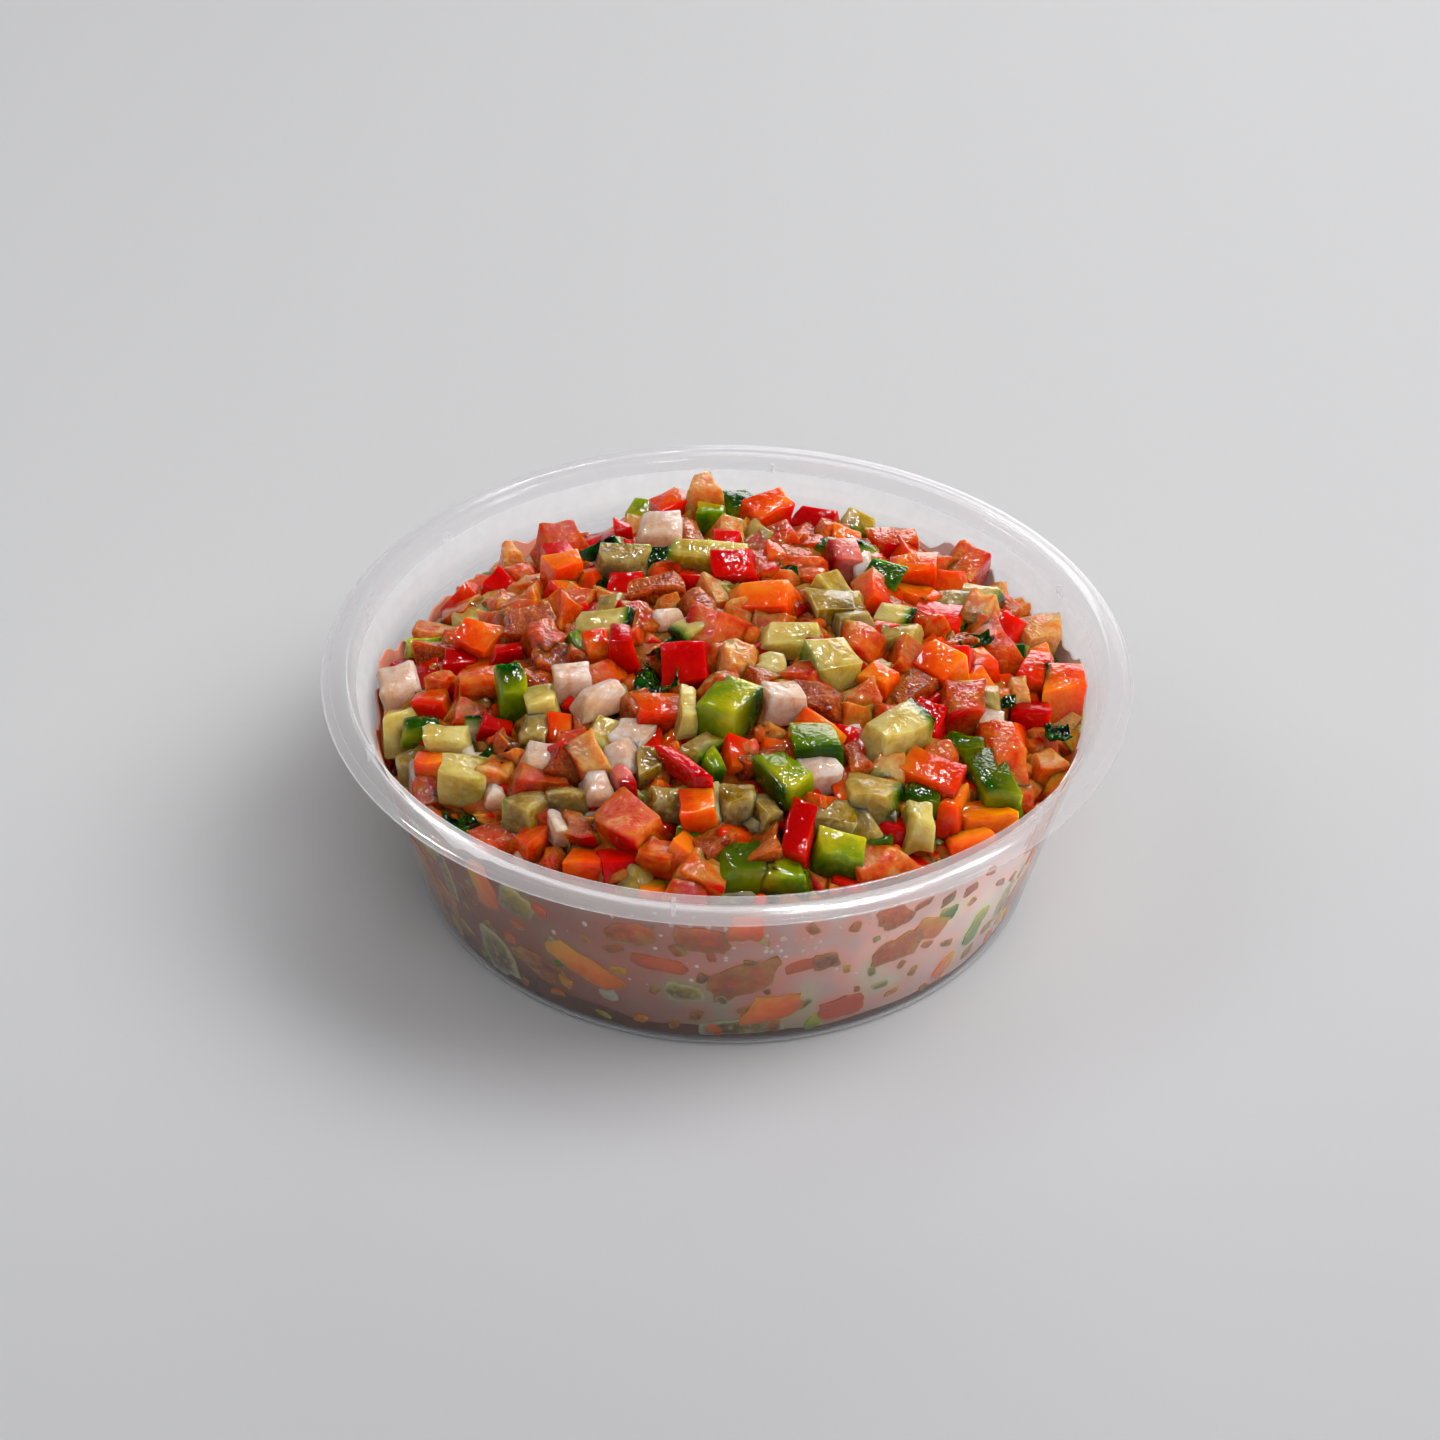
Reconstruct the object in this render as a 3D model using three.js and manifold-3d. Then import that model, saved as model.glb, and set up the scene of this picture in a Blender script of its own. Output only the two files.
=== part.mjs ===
// A small chopped salad in its clear plastic tub: diced tomato, sweet pepper, cucumber, onion,
// radish and herbs, heaped a little above the lip. Millimetres, +Z up, the origin in the middle
// of the tub's base, with the tub's front towards -Y.
import * as THREE from 'three';
import { mergeVertices } from 'three/addons/utils/BufferGeometryUtils.js';
import Module from 'manifold-3d';

const wasm = await Module();
wasm.setup();

const SAME_POINT = 1e-3;

// Driving dimensions of the tub
const LIP_HEIGHT = 34.9;
const LIP_RADIUS = 54.87; // the ridge at the top of the lip
const BEAD_RADIUS = 58.5; // the outer edge of the rolled bead
const BEAD_DROP = 1.75; // from the ridge down to the middle of the bead
const BASE_RADIUS = 45.7;
const WALL = 0.7;
const FLOOR = 0.8;
const BASE_CORNER = 1.2;
const LEDGE_RADIUS = 52.6; // where the wall meets the step that a lid snaps past
const LEDGE_DROP = 4.3;
const COLLAR_RADIUS = 53.4;
const COLLAR_DROP = 3.2;
const TUB_SIDES = 64;
const RIB_COUNT = 6;
const RIB_FIRST_ANGLE = 23;
const RIB_WIDTH = 0.7;
const RIB_HEIGHT = 2.3;

// Driving dimensions of the heap
const CLEARANCE = 0.3;
const HEAP_EDGE = 24; // how high the salad stands at the wall
const HEAP_PEAK = 37; // and in the middle
const HEAP_RADIUS = 51;
const HEAP_SHOULDER = 2.6; // a higher power makes a flatter top with steeper sides
const HEAP_LEAN = 0.03; // it is a little higher at the right and at the front
const CORE_SINK = 1.2; // the core lies this far under the pieces' middles
const CORE_SIDES = 32;
const CORE_RINGS = 6;
const CORE_RELIEF = 0.8;
const FILL_COUNT = 70;
const FILL_SIZES = [3.2, 5.4];
const FILL_SPACING = 5.2;
const FILL_TRIES = 4000;
const SEED = 20;

// The dice that stand out, as they lie in the heap:
// across, back, long, wide, high, turn about the vertical, tip about the long side, lift
const TOMATO = [
  [-42.5, 28, 8, 6, 5, 5, 0, 2.5], [-35, 35, 5, 5, 7.5, 25, 12, 4], [-25.5, 35, 7, 6, 6, 30, 0, 2],
  [-31, 27, 6, 5, 4, 20, 10, 1], [-40.5, 11, 4, 4, 4, 10, 0, 1], [-48, 8, 6, 4, 4, 60, 0, 1],
  [-28.5, 6.5, 7, 6, 5, 10, 20, 1], [-26, 1.5, 7, 7, 5, 35, 0, 0.5], [-36, -5, 7, 6, 5, 10, 10, 1.5],
  [-41, -2, 5, 3, 4, 45, 0, 1], [-36, -12, 6, 4, 4, -10, 0, 0.5], [-13, 3.5, 8, 6, 5, 40, 10, 1],
  [-10, 12.5, 8, 5, 4, 10, 0, 1], [-3.5, 8, 6, 6, 5, 20, 0, 1], [1, -8, 6.5, 6, 6, 15, 0, 1.5],
  [-13, -16, 5, 5, 4, 30, 0, 0.5], [-22, -21.5, 8, 6, 5, 15, 20, 0.5], [-27, -27, 9.5, 5, 4, 5, 0, 1],
  [-32, -35, 8, 6, 5, 20, 0, 0.5], [-27, -36.5, 7, 6, 5, -30, 0, 1], [-19, -36.5, 6, 6, 5, 10, 0, 0.5],
  [-13, -37.5, 9, 8, 5, -35, 15, 1.5], [-1.5, -41, 8, 4, 4, 40, 0, 0.5], [3, -35, 8, 8, 6, 10, 0, 1],
  [4, -27.5, 6.5, 4, 4, 5, 0, 1], [14, -16, 9, 6, 5, -15, 0, 0.5], [18.5, -26, 4, 8, 4, 15, 0, 0.5],
  [19, -2, 8, 7, 5, -20, 10, 1], [27, -9.5, 8, 5, 4, 50, 0, 1], [32.5, -13.5, 7.5, 7, 6, 10, 0, 1.5],
  [39, -19, 6, 10, 6, 15, 0, 1.5], [25.5, 34, 9, 6, 5, 10, 0, 2], [35, 29, 8, 8, 6, -25, 10, 2],
  [43.5, 27, 5, 5, 6, -20, 0, 2], [37, 13, 7, 7, 6, -30, 15, 1.5], [45, 12.5, 6.5, 7, 6, 10, 0, 1.5],
  [46, -17.5, 6, 5, 5, 20, 0, 1], [22, -41, 11, 6, 4, 20, 0, 1], [12, 29, 6, 4, 4, 0, 0, 0.5],
  [12.5, 16.5, 7, 4, 4, 0, 0, 0.5], [34, 4, 8, 4, 4, 10, 0, 0.5], [42, -25, 5, 5, 4, 0, 0, 1],
];
const ORANGE_PEPPER = [
  [-25, 20, 6, 5.5, 7, 20, 0, 2], [-36.5, 6, 7, 6, 5, -25, 10, 1.5], [-42.5, -6, 6, 5, 4, -10, 0, 1],
  [-50, -7, 3.5, 7, 5, 20, 0, 1], [-9, 42.5, 7, 5, 6, 35, 0, 4], [5, 38.5, 8.5, 6, 8, 40, 15, 3],
  [5, 7, 11, 6, 5, -8, 10, 2], [7, 21, 4, 5, 5, 10, 0, 1.5], [28, 21, 8, 6, 5, 0, 0, 2],
  [21, -10, 6.5, 4, 4, -35, 0, 1.5], [30.5, -5.5, 7, 6, 5, -45, 10, 2], [49, -3, 6, 8, 9, 5, 0, 3.5],
  [45, 0, 6, 7, 6, -15, 0, 2], [28, -27, 9, 7, 5, -25, 0, 1], [31.5, -31.5, 4, 6.5, 5, -20, 0, 1.5],
  [17, -31, 4, 8, 4, 15, 0, 0.5], [-9, -17, 8.5, 6, 4, 10, 0, 0.5], [-4, -36.5, 5, 5, 5, 10, 0, 1.5],
  [7, -26, 5, 5, 4, 0, 0, 0.5], [34, -35.5, 7, 5, 4, 25, 0, 1], [-19, -3, 4, 5, 5, 10, 0, 1],
  [-18.5, -41.5, 8, 5, 4, -10, 0, 0.5], [-4, 44, 6, 5.5, 6, 10, 0, 6],
];
const RED_PEPPER = [
  [-15, -5, 5, 5, 9, 5, 0, 1.5], [-16, 33.5, 3.5, 3, 6, 10, 0, 2], [-14.5, 29, 5, 3, 3, 0, 0, 1],
  [1.5, 16.5, 7, 6, 4, 5, 15, 2], [13, 40, 8, 5, 5, -20, 10, 2], [28, -17, 6, 6, 5, -20, 0, 1],
  [10, -39.5, 5, 9, 5, -10, 20, 2], [-6, -30, 2.6, 10, 3, 40, 0, 2.5], [43, -8, 6, 5, 4, 0, 0, 0.5],
  [-33, -15, 6, 3, 3, -10, 0, 0.5], [-32, 1, 6, 2.5, 2.5, 10, 0, 1], [-39, 3, 5, 4, 4, 0, 0, 0.5],
];
const GREEN_PEPPER = [
  [-13, 46, 6.5, 4.5, 4, -35, 30, 4], [1, 42.5, 6, 5, 6, 30, 0, 3.5], [-2.5, 38.5, 5, 4, 5, 0, 0, 2.5],
  [-45, 10.5, 7, 3, 4, 15, 0, 1.5], [-36.5, 32.5, 5, 2.5, 3, 15, 0, 1.5], [-21.5, -1, 2.5, 7, 3, 25, 0, 1],
  [-44, -11, 6, 3.5, 4, 10, 0, 1.5], [-30, -11, 5, 6, 7, 12, 0, 2], [-0.5, -19.5, 9, 8, 7, -30, 0, 2],
  [-2, -28, 3, 6, 3, 20, 0, 1], [2.5, -43.5, 10, 6, 5, 5, 0, 0.5], [13, -25.5, 7, 6, 6, 10, 0, 1.5],
  [8, -31.5, 5, 9, 5, 35, 0, 2], [22, 17.5, 6, 6, 5, -20, 0, 1.5], [37, -25.5, 6, 10, 6, 15, 0, 2],
  [27, -30.5, 7, 4, 4, -15, 0, 1], [33, -19.5, 7, 3, 3, -5, 0, 1], [14.5, 28.5, 4, 3, 3, -10, 0, 1.5],
  [15, -41.5, 7.5, 5, 5, -10, 0, 1.5], [8.5, -45, 8, 4, 4, 0, 0, 1.5],
];
const CUCUMBER = [
  [-16, 21.5, 8, 6, 6, -10, 0, 1.5], [-2, 20, 13, 5, 5, -4, 0, 2], [-17, 7, 5, 6, 5, 0, 0, 0.5],
  [-4.5, 1, 9, 4, 4, 35, 0, 1.5], [14, -8.5, 8, 9, 7, 20, 0, 2], [19, 41.5, 7, 6, 5, -15, 0, 2],
  [-26, -13.5, 5, 5, 4.5, 10, 0, 1.5], [-39, -16, 8, 4.5, 4, -5, 0, 1.5], [-27, -18, 5, 5, 4, 0, 0, 0.5],
  [-36, -24.5, 8, 7, 6, -15, 0, 1.5], [-21, -31, 6, 4, 4, 0, 0, 0.5], [-11, -27.5, 4, 5, 4, 10, 0, 0.5],
  [-8, -34, 7, 5, 4, 0, 0, 0.5], [23, -22, 9, 6.5, 6, 35, 0, 2], [20.5, -33, 9, 6, 6, -10, 0, 1.5],
  [26.5, -35.5, 5, 5, 7, 10, 0, 1.5], [14, -36.5, 7, 5, 5, 0, 0, 0.5], [14.5, 6.5, 6, 6, 6, 10, 0, 1],
  [18, 9.5, 4, 4, 4, 0, 0, 1], [8.5, -1.5, 11, 5, 4, -5, 0, 1], [6.5, -8, 6, 4, 4, 0, 0, 0.5],
  [25, 1.5, 7.5, 4, 4, -5, 0, 1], [37, -10, 4.5, 6, 5, 0, 0, 1], [37.5, 18.5, 7, 5, 5, -20, 0, 1.5],
  [46.5, 17, 5, 3, 4, -30, 0, 1.5], [-5.5, -19, 3, 7, 5, 0, 0, 1.5],
];
const ONION = [
  [-11, 31.5, 8.5, 7, 6, -5, 0, 2], [-48, 1, 7.5, 6, 6, 10, 0, 2], [-8.5, 3.5, 5.5, 3, 3, 15, 0, 1.5],
  [-22, -10.5, 5.5, 5, 5.5, 15, 0, 2], [-18, -14.5, 7, 4.5, 4, 30, 0, 1.5],
  [-45, -19.5, 6, 8.5, 6, 15, 0, 1], [-26, -23.5, 6, 5, 4, 0, 0, 0.5], [7.5, -17, 5.5, 5, 5, 20, 0, 2],
  [12, -30, 7, 5, 5, 20, 0, 1.5], [-17.5, -30.5, 4, 6, 4, 20, 0, 1], [37, -14, 5, 5, 5, 0, 0, 1],
];
const RADISH = [[17, 22.5, 6, 5.5, 5, 10, 0, 2], [-14, -30.5, 3, 5, 3.5, 25, 0, 1.5]];
const HERBS = [
  [-20.5, 26, 5, 4, 3, 20, 0, 1], [-11, 22.5, 5, 5, 3, 0, 20, 1], [-10, -10, 5, 8, 5, 0, 0, 0.5],
  [-33, -20, 4, 6, 4, 0, 0, 0.5], [-36, -31, 5, 4, 3, 0, 0, 0.5],
];
const SHOWN = [TOMATO, ORANGE_PEPPER, RED_PEPPER, GREEN_PEPPER, CUCUMBER, ONION, RADISH, HERBS];

const radians = THREE.MathUtils.degToRad;

// The inside of the tub's wall, a straight taper from the base to the ledge
const insideBase = new THREE.Vector2(BASE_RADIUS - WALL, FLOOR + BASE_CORNER);
const insideTop = new THREE.Vector2(LEDGE_RADIUS, LIP_HEIGHT - LEDGE_DROP);

function insideRadius(height) {
  const part = (height - insideBase.y) / (insideTop.y - insideBase.y);
  return THREE.MathUtils.lerp(insideBase.x, insideTop.x, Math.min(part, 1));
}

function asSolid(geometry) {
  const bare = geometry.clone();
  bare.deleteAttribute('normal');
  bare.deleteAttribute('uv');
  const merged = mergeVertices(bare, SAME_POINT);
  return new wasm.Manifold(new wasm.Mesh({
    numProp: 3,
    vertProperties: new Float32Array(merged.attributes.position.array),
    triVerts: new Uint32Array(merged.index.array),
  }));
}

// The largest shell of a fused solid: gaps sealed between pieces are filled and loose scraps dropped
function largestShell(triangles, vertexCount) {
  const shell = Array.from({ length: vertexCount }, (_, i) => i);
  const find = (i) => {
    let top = i;
    while (shell[top] !== top) {
      shell[top] = shell[shell[top]];
      top = shell[top];
    }
    return top;
  };
  for (let t = 0; t < triangles.length; t += 3) {
    shell[find(triangles[t + 1])] = find(triangles[t]);
    shell[find(triangles[t + 2])] = find(triangles[t]);
  }
  const sizes = new Map();
  for (const corner of triangles) sizes.set(find(corner), (sizes.get(find(corner)) ?? 0) + 1);
  const [largest] = [...sizes].reduce((best, entry) => (entry[1] > best[1] ? entry : best));
  return triangles.filter((corner, i) => find(triangles[i - (i % 3)]) === largest);
}

function asGeometry(solid) {
  const mesh = solid.getMesh();
  const triangles = largestShell(Array.from(mesh.triVerts), mesh.vertProperties.length / 3);
  const geometry = new THREE.BufferGeometry();
  geometry.setAttribute('position', new THREE.BufferAttribute(new Float32Array(mesh.vertProperties), 3));
  geometry.setIndex(triangles);
  geometry.computeVertexNormals();
  return geometry;
}

// Where two cuts meet almost at one point, the second pass joins them and drops what that seals
function fused(solid) {
  return asGeometry(asSolid(asGeometry(solid)));
}

function lathe(profile, sides) {
  const points = profile.map(([radius, height]) => new THREE.Vector2(radius, height));
  return new THREE.LatheGeometry(points, sides).rotateX(Math.PI / 2);
}

// The tub: one turned wall with its floor, ledge, collar, lip and rolled bead
function tubProfile() {
  const ledge = LIP_HEIGHT - LEDGE_DROP;
  const collar = LIP_HEIGHT - COLLAR_DROP;
  const bead = LIP_HEIGHT - BEAD_DROP;
  const corner = BASE_CORNER;
  return [
    [0, 0],
    [BASE_RADIUS - corner, 0],
    [BASE_RADIUS - 0.35, 0.35],
    [BASE_RADIUS, corner],
    [LEDGE_RADIUS + WALL, ledge],
    [COLLAR_RADIUS + WALL, collar],
    [LIP_RADIUS + 0.25, bead + 0.3],
    [BEAD_RADIUS - 1.1, bead - 0.3],
    [BEAD_RADIUS - 0.5, bead - 0.65],
    [BEAD_RADIUS - 0.1, bead - 0.45],
    [BEAD_RADIUS, bead],
    [BEAD_RADIUS - 0.3, bead + 0.4],
    [BEAD_RADIUS - 0.8, bead + 0.45],
    [BEAD_RADIUS - 1.1, bead + 0.75],
    [LIP_RADIUS + 0.6, LIP_HEIGHT - 0.15],
    [LIP_RADIUS, LIP_HEIGHT],
    [LIP_RADIUS - 0.5, LIP_HEIGHT - 0.5],
    [COLLAR_RADIUS, collar],
    [insideTop.x, insideTop.y],
    [insideBase.x, insideBase.y],
    [insideBase.x - corner, FLOOR],
    [0, FLOOR],
  ];
}

function makeTub() {
  let tub = asSolid(lathe(tubProfile(), TUB_SIDES));
  for (let rib = 0; rib < RIB_COUNT; rib += 1) {
    const middle = LIP_HEIGHT - 0.6 - RIB_HEIGHT / 2;
    const box = new THREE.BoxGeometry(1, RIB_WIDTH, RIB_HEIGHT)
      .translate(COLLAR_RADIUS + 0.55, 0, middle)
      .rotateZ(radians(RIB_FIRST_ANGLE + (rib * 360) / RIB_COUNT));
    tub = tub.add(asSolid(box));
  }
  return fused(tub);
}

// The heap's surface, at the height of its pieces' middles
function heapHeight(across, back) {
  const out = Math.min(1, Math.hypot(across, back) / HEAP_RADIUS);
  const dome = (HEAP_PEAK - HEAP_EDGE) * (1 - out ** HEAP_SHOULDER);
  return HEAP_EDGE + dome + HEAP_LEAN * (across - back);
}

function relief(across, back) {
  return CORE_RELIEF * Math.sin(across * 0.9 + 1) * Math.cos(back * 0.8 + across * 0.2);
}

// The core fills the tub from its floor up to just under the pieces
function makeCore() {
  const low = FLOOR + CLEARANCE;
  const profile = [[0, low], [insideBase.x - BASE_CORNER - CLEARANCE, low]];
  profile.push([insideRadius(insideBase.y) - CLEARANCE, insideBase.y + CLEARANCE]);
  const edge = HEAP_EDGE - 2 * CORE_SINK;
  for (let ring = 0; ring < CORE_RINGS; ring += 1) {
    const share = 1 - ring / CORE_RINGS;
    profile.push([share * (insideRadius(edge) - 2 * CLEARANCE), edge]);
  }
  profile.push([0, edge]);
  const core = lathe(profile, CORE_SIDES);
  const place = core.attributes.position;
  for (let i = 0; i < place.count; i += 1) {
    const across = place.getX(i);
    const back = place.getY(i);
    if (place.getZ(i) < edge - 1) continue;
    const bump = Math.hypot(across, back) > 1 ? relief(across, back) : 0;
    place.setZ(i, heapHeight(across, back) - CORE_SINK + bump);
  }
  return asSolid(core);
}

// One die: a block whose far end is a little smaller, because hand-cut dice are never square
function makeDie(long, wide, high, narrow) {
  const block = new THREE.BoxGeometry(long, wide, high);
  const place = block.attributes.position;
  for (let i = 0; i < place.count; i += 1) {
    if (place.getX(i) < 0) continue;
    place.setY(i, place.getY(i) * narrow);
    place.setZ(i, place.getZ(i) * (2 - narrow) * narrow);
  }
  return block;
}

// Keeps a die off the wall: it moves in until its furthest corner clears the taper
function layDie(die, across, back, turn, tip, lift) {
  die.rotateX(radians(tip)).rotateZ(radians(turn));
  const height = heapHeight(across, back) + lift;
  die.translate(across, back, height);
  const place = die.attributes.position;
  let over = 0;
  for (let i = 0; i < place.count; i += 1) {
    const room = insideRadius(place.getZ(i)) - CLEARANCE;
    over = Math.max(over, Math.hypot(place.getX(i), place.getY(i)) - room);
  }
  if (over > 0) {
    const reach = Math.hypot(across, back);
    die.translate((-1.2 * over * across) / reach, (-1.2 * over * back) / reach, 0);
  }
  return asSolid(die);
}

// A seeded draw between 0 and 1, the same at every run
function seededDraw(seed) {
  let state = seed;
  return () => {
    state = (state + 0x6d2b79f5) | 0;
    let mixed = Math.imul(state ^ (state >>> 15), 1 | state);
    mixed = (mixed + Math.imul(mixed ^ (mixed >>> 7), 61 | mixed)) ^ mixed;
    return ((mixed ^ (mixed >>> 14)) >>> 0) / 4294967296;
  };
}

function makeHeap() {
  const draw = seededDraw(SEED);
  const between = (low, high) => low + (high - low) * draw();
  const taken = [];
  let heap = makeCore();
  for (const dice of SHOWN) {
    for (const [across, back, long, wide, high, turn, tip, lift] of dice) {
      heap = heap.add(layDie(makeDie(long, wide, high, between(0.78, 0.96)), across, back, turn, tip, lift));
      taken.push([across, back]);
    }
  }
  let left = FILL_COUNT;
  for (let go = 0; go < FILL_TRIES && left > 0; go += 1) {
    const reach = HEAP_RADIUS * Math.sqrt(draw());
    const angle = between(0, 2 * Math.PI);
    const across = reach * Math.cos(angle);
    const back = reach * Math.sin(angle);
    if (taken.some(([x, y]) => Math.hypot(x - across, y - back) < FILL_SPACING)) continue;
    const [small, large] = FILL_SIZES;
    const die = makeDie(between(small, large), between(small, large), between(small, large), 0.85);
    heap = heap.add(layDie(die, across, back, between(0, 90), between(-25, 25), between(-0.5, 0.8)));
    taken.push([across, back]);
    left -= 1;
  }
  return fused(heap);
}

function subPart(name, geometry, colour, roughness, opacity) {
  const material = new THREE.MeshStandardMaterial({
    color: colour,
    roughness,
    metalness: 0,
    transparent: opacity < 1,
    opacity,
  });
  const mesh = new THREE.Mesh(geometry, material);
  mesh.name = name;
  return mesh;
}

const salad = new THREE.Group();
salad.add(subPart('tub', makeTub(), 0xe6e6ea, 0.35, 0.45));
salad.add(subPart('salad_heap', makeHeap(), 0xc4562f, 0.4, 1));

export default salad;
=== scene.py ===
# %% [markdown]
# # A chopped salad in its plastic tub
# The real thing is a thin frosted polypropylene tub, filled past its lip with finely diced
# tomato, sweet pepper, cucumber, onion, radish and herbs, all wet with their own juice. The
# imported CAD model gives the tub's and the heap's true size, and this script dresses them: the
# tub is turned again with round edges, and the heap becomes loose dice over a wet core.

import math
import random

import bmesh
import bpy
from mathutils import Matrix, Quaternion, Vector, noise
from mathutils.bvhtree import BVHTree


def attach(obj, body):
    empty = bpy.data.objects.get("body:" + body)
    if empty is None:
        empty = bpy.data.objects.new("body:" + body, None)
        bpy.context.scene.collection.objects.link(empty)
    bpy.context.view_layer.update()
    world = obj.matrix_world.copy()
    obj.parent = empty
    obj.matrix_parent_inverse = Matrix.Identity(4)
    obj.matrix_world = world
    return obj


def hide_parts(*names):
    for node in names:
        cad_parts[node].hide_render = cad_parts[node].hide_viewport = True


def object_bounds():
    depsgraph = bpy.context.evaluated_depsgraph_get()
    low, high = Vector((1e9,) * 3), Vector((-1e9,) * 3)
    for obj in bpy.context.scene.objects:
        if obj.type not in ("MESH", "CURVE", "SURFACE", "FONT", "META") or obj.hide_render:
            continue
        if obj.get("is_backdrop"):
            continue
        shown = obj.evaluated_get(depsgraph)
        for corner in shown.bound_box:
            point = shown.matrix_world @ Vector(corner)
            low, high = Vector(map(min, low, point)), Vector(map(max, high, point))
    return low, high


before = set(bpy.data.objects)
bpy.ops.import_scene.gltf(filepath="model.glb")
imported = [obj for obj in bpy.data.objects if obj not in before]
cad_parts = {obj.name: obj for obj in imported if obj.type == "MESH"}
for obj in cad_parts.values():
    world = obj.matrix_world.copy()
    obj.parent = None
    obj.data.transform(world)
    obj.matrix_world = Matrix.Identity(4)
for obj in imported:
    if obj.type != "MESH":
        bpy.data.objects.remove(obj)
cad_low, cad_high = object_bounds()
BODY = "root"
MM = 0.001
print("CAD box in mm:", [round(v / MM, 1) for v in (*cad_low, *cad_high)])

# %% [markdown]
# ## Camera
# A product photo of something this small is taken with a long lens from half a metre away. The
# outlines of the lip and the base fix where the camera stood: 37 degrees above the table, aimed
# a touch to the left of the tub's middle and held less than a degree off level.

# %% The camera
LENS, SENSOR = 85, 36
CAMERA_AT = Vector((0, -398.5, 321.3)) * MM
AIM_AT = Vector((-0.92, -1.06, 23.57)) * MM
CAMERA_ROLL = math.radians(0.84)

camera = bpy.data.objects.new("camera", bpy.data.cameras.new("camera"))
bpy.context.scene.collection.objects.link(camera)
bpy.context.scene.camera = camera
camera.data.lens = LENS
camera.data.sensor_width = SENSOR
camera.location = CAMERA_AT
camera.rotation_mode = "QUATERNION"
look = (AIM_AT - CAMERA_AT).to_track_quat("-Z", "Y")
camera.rotation_quaternion = look @ Quaternion((0, 0, 1), CAMERA_ROLL)
print("camera is", round((CAMERA_AT - AIM_AT).length, 3), "m from what it looks at")


# %% [markdown]
# ## Light and table
# The shadow lies to the left with a wide soft edge, so the main light is a large soft box at the
# right, and weaker ones fill in from the back, the front and the left. In their gloss such large
# lamps would only grey the wet dice. So most of them are left out of it, and the crisp white
# glints come from four small lamps that show in gloss alone. One pale sheet is table and
# background in one, because the camera looks down on it everywhere.

# %% Colours, lights and the table
def srgb(red, green, blue):
    """A colour as it looks on a screen, 0 to 255 each, as the linear colour a shader wants."""
    parts = [c / 255 for c in (red, green, blue)]
    linear = [c / 12.92 if c < 0.04 else ((c + 0.055) / 1.055) ** 2.4 for c in parts]
    return (*linear, 1.0)


KEY_AT = (1.2, 0.03, 1.56)
KEY_SIZE, KEY_POWER, KEY_GLOSS_SIZE, KEY_GLOSS_POWER = 1.25, 61, 0.3, 18
GLINTS = (0.12, 0.62, 0.9), (-0.5, 0.4, 0.9), (0.2, -0.25, 1.1)
GLINT_SIZE, GLINT_POWER = 0.11, 3.2
LAMPS_FACE = Vector((0, 0, 0.02))


def soft_box(name, place, size, power, gloss=True, fill=True):
    """A square area light that faces the salad, and may be left out of its gloss or its fill."""
    lamp = bpy.data.lights.new(name, "AREA")
    lamp.size = size
    lamp.energy = power
    box = bpy.data.objects.new(name, lamp)
    box.location = place
    box.rotation_mode = "QUATERNION"
    box.rotation_quaternion = (LAMPS_FACE - box.location).to_track_quat("-Z", "Y")
    box.visible_glossy = gloss
    box.visible_diffuse = box.visible_transmission = fill
    bpy.context.scene.collection.objects.link(box)


soft_box("key_right", KEY_AT, KEY_SIZE, KEY_POWER, gloss=False)
soft_box("key_gloss", KEY_AT, KEY_GLOSS_SIZE, KEY_GLOSS_POWER, fill=False)
soft_box("back_low", (0.25, 1.15, 0.32), 0.6, 5)
soft_box("front_top", (0.15, -0.62, 1.05), 0.5, 5.6, gloss=False)
soft_box("fill_left", (-0.8, -0.1, 0.9), 0.6, 4.5, gloss=False)
soft_box("front_low", (0.35, -0.95, 0.4), 0.5, 1.4, gloss=False)
for number, place in enumerate(GLINTS):
    soft_box(f"glint_{number}", place, GLINT_SIZE, GLINT_POWER, fill=False)

world = bpy.data.worlds.new("room")
world.use_nodes = True
room = world.node_tree
upwards = room.nodes.new("ShaderNodeTexCoord").outputs["Generated"]
split = room.nodes.new("ShaderNodeSeparateXYZ")
room.links.new(upwards, split.inputs[0])
fade = room.nodes.new("ShaderNodeMapRange")
room.links.new(split.outputs["Z"], fade.inputs["Value"])
for socket, value in (("From Min", 0.0), ("From Max", 0.4), ("To Min", 0.7), ("To Max", 0.07)):
    fade.inputs[socket].default_value = value
room.nodes["Background"].inputs["Color"].default_value = srgb(246, 247, 252)
room.links.new(fade.outputs[0], room.nodes["Background"].inputs["Strength"])
bpy.context.scene.world = world
bpy.context.scene.view_settings.view_transform = "Standard"


# %% [markdown]
# ## Short ways to write a finish
# Every finish below starts from a Principled shader, with procedural nodes. These helpers keep
# the node code short: each adds a node, or one usual step such as a ramp, a cloud of noise or a
# bump, and fills its sockets by a value or by a link.

# %% Helpers for finishes
def plug(tree, socket, value):
    """Sets a socket, or links it if the value is another node's output."""
    if isinstance(value, bpy.types.NodeSocket):
        tree.links.new(value, socket)
    else:
        socket.default_value = value


def node(tree, kind, sockets=None, **settings):
    """Adds a node, with settings for its fields and a value or link for each named socket."""
    made = tree.nodes.new("ShaderNode" + kind)
    for name, value in settings.items():
        setattr(made, name, value)
    for name, value in (sockets or {}).items():
        plug(tree, made.inputs[name], value)
    return made


def ramp(tree, factor, *stops):
    """A colour ramp through (position, colour) stops."""
    made = node(tree, "ValToRGB", {"Fac": factor})
    steps = made.color_ramp.elements
    while len(steps) < len(stops):
        steps.new(0.5)
    for step, (position, colour) in zip(steps, stops):
        step.position = position
        step.color = colour
    return made.outputs["Color"]


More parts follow.
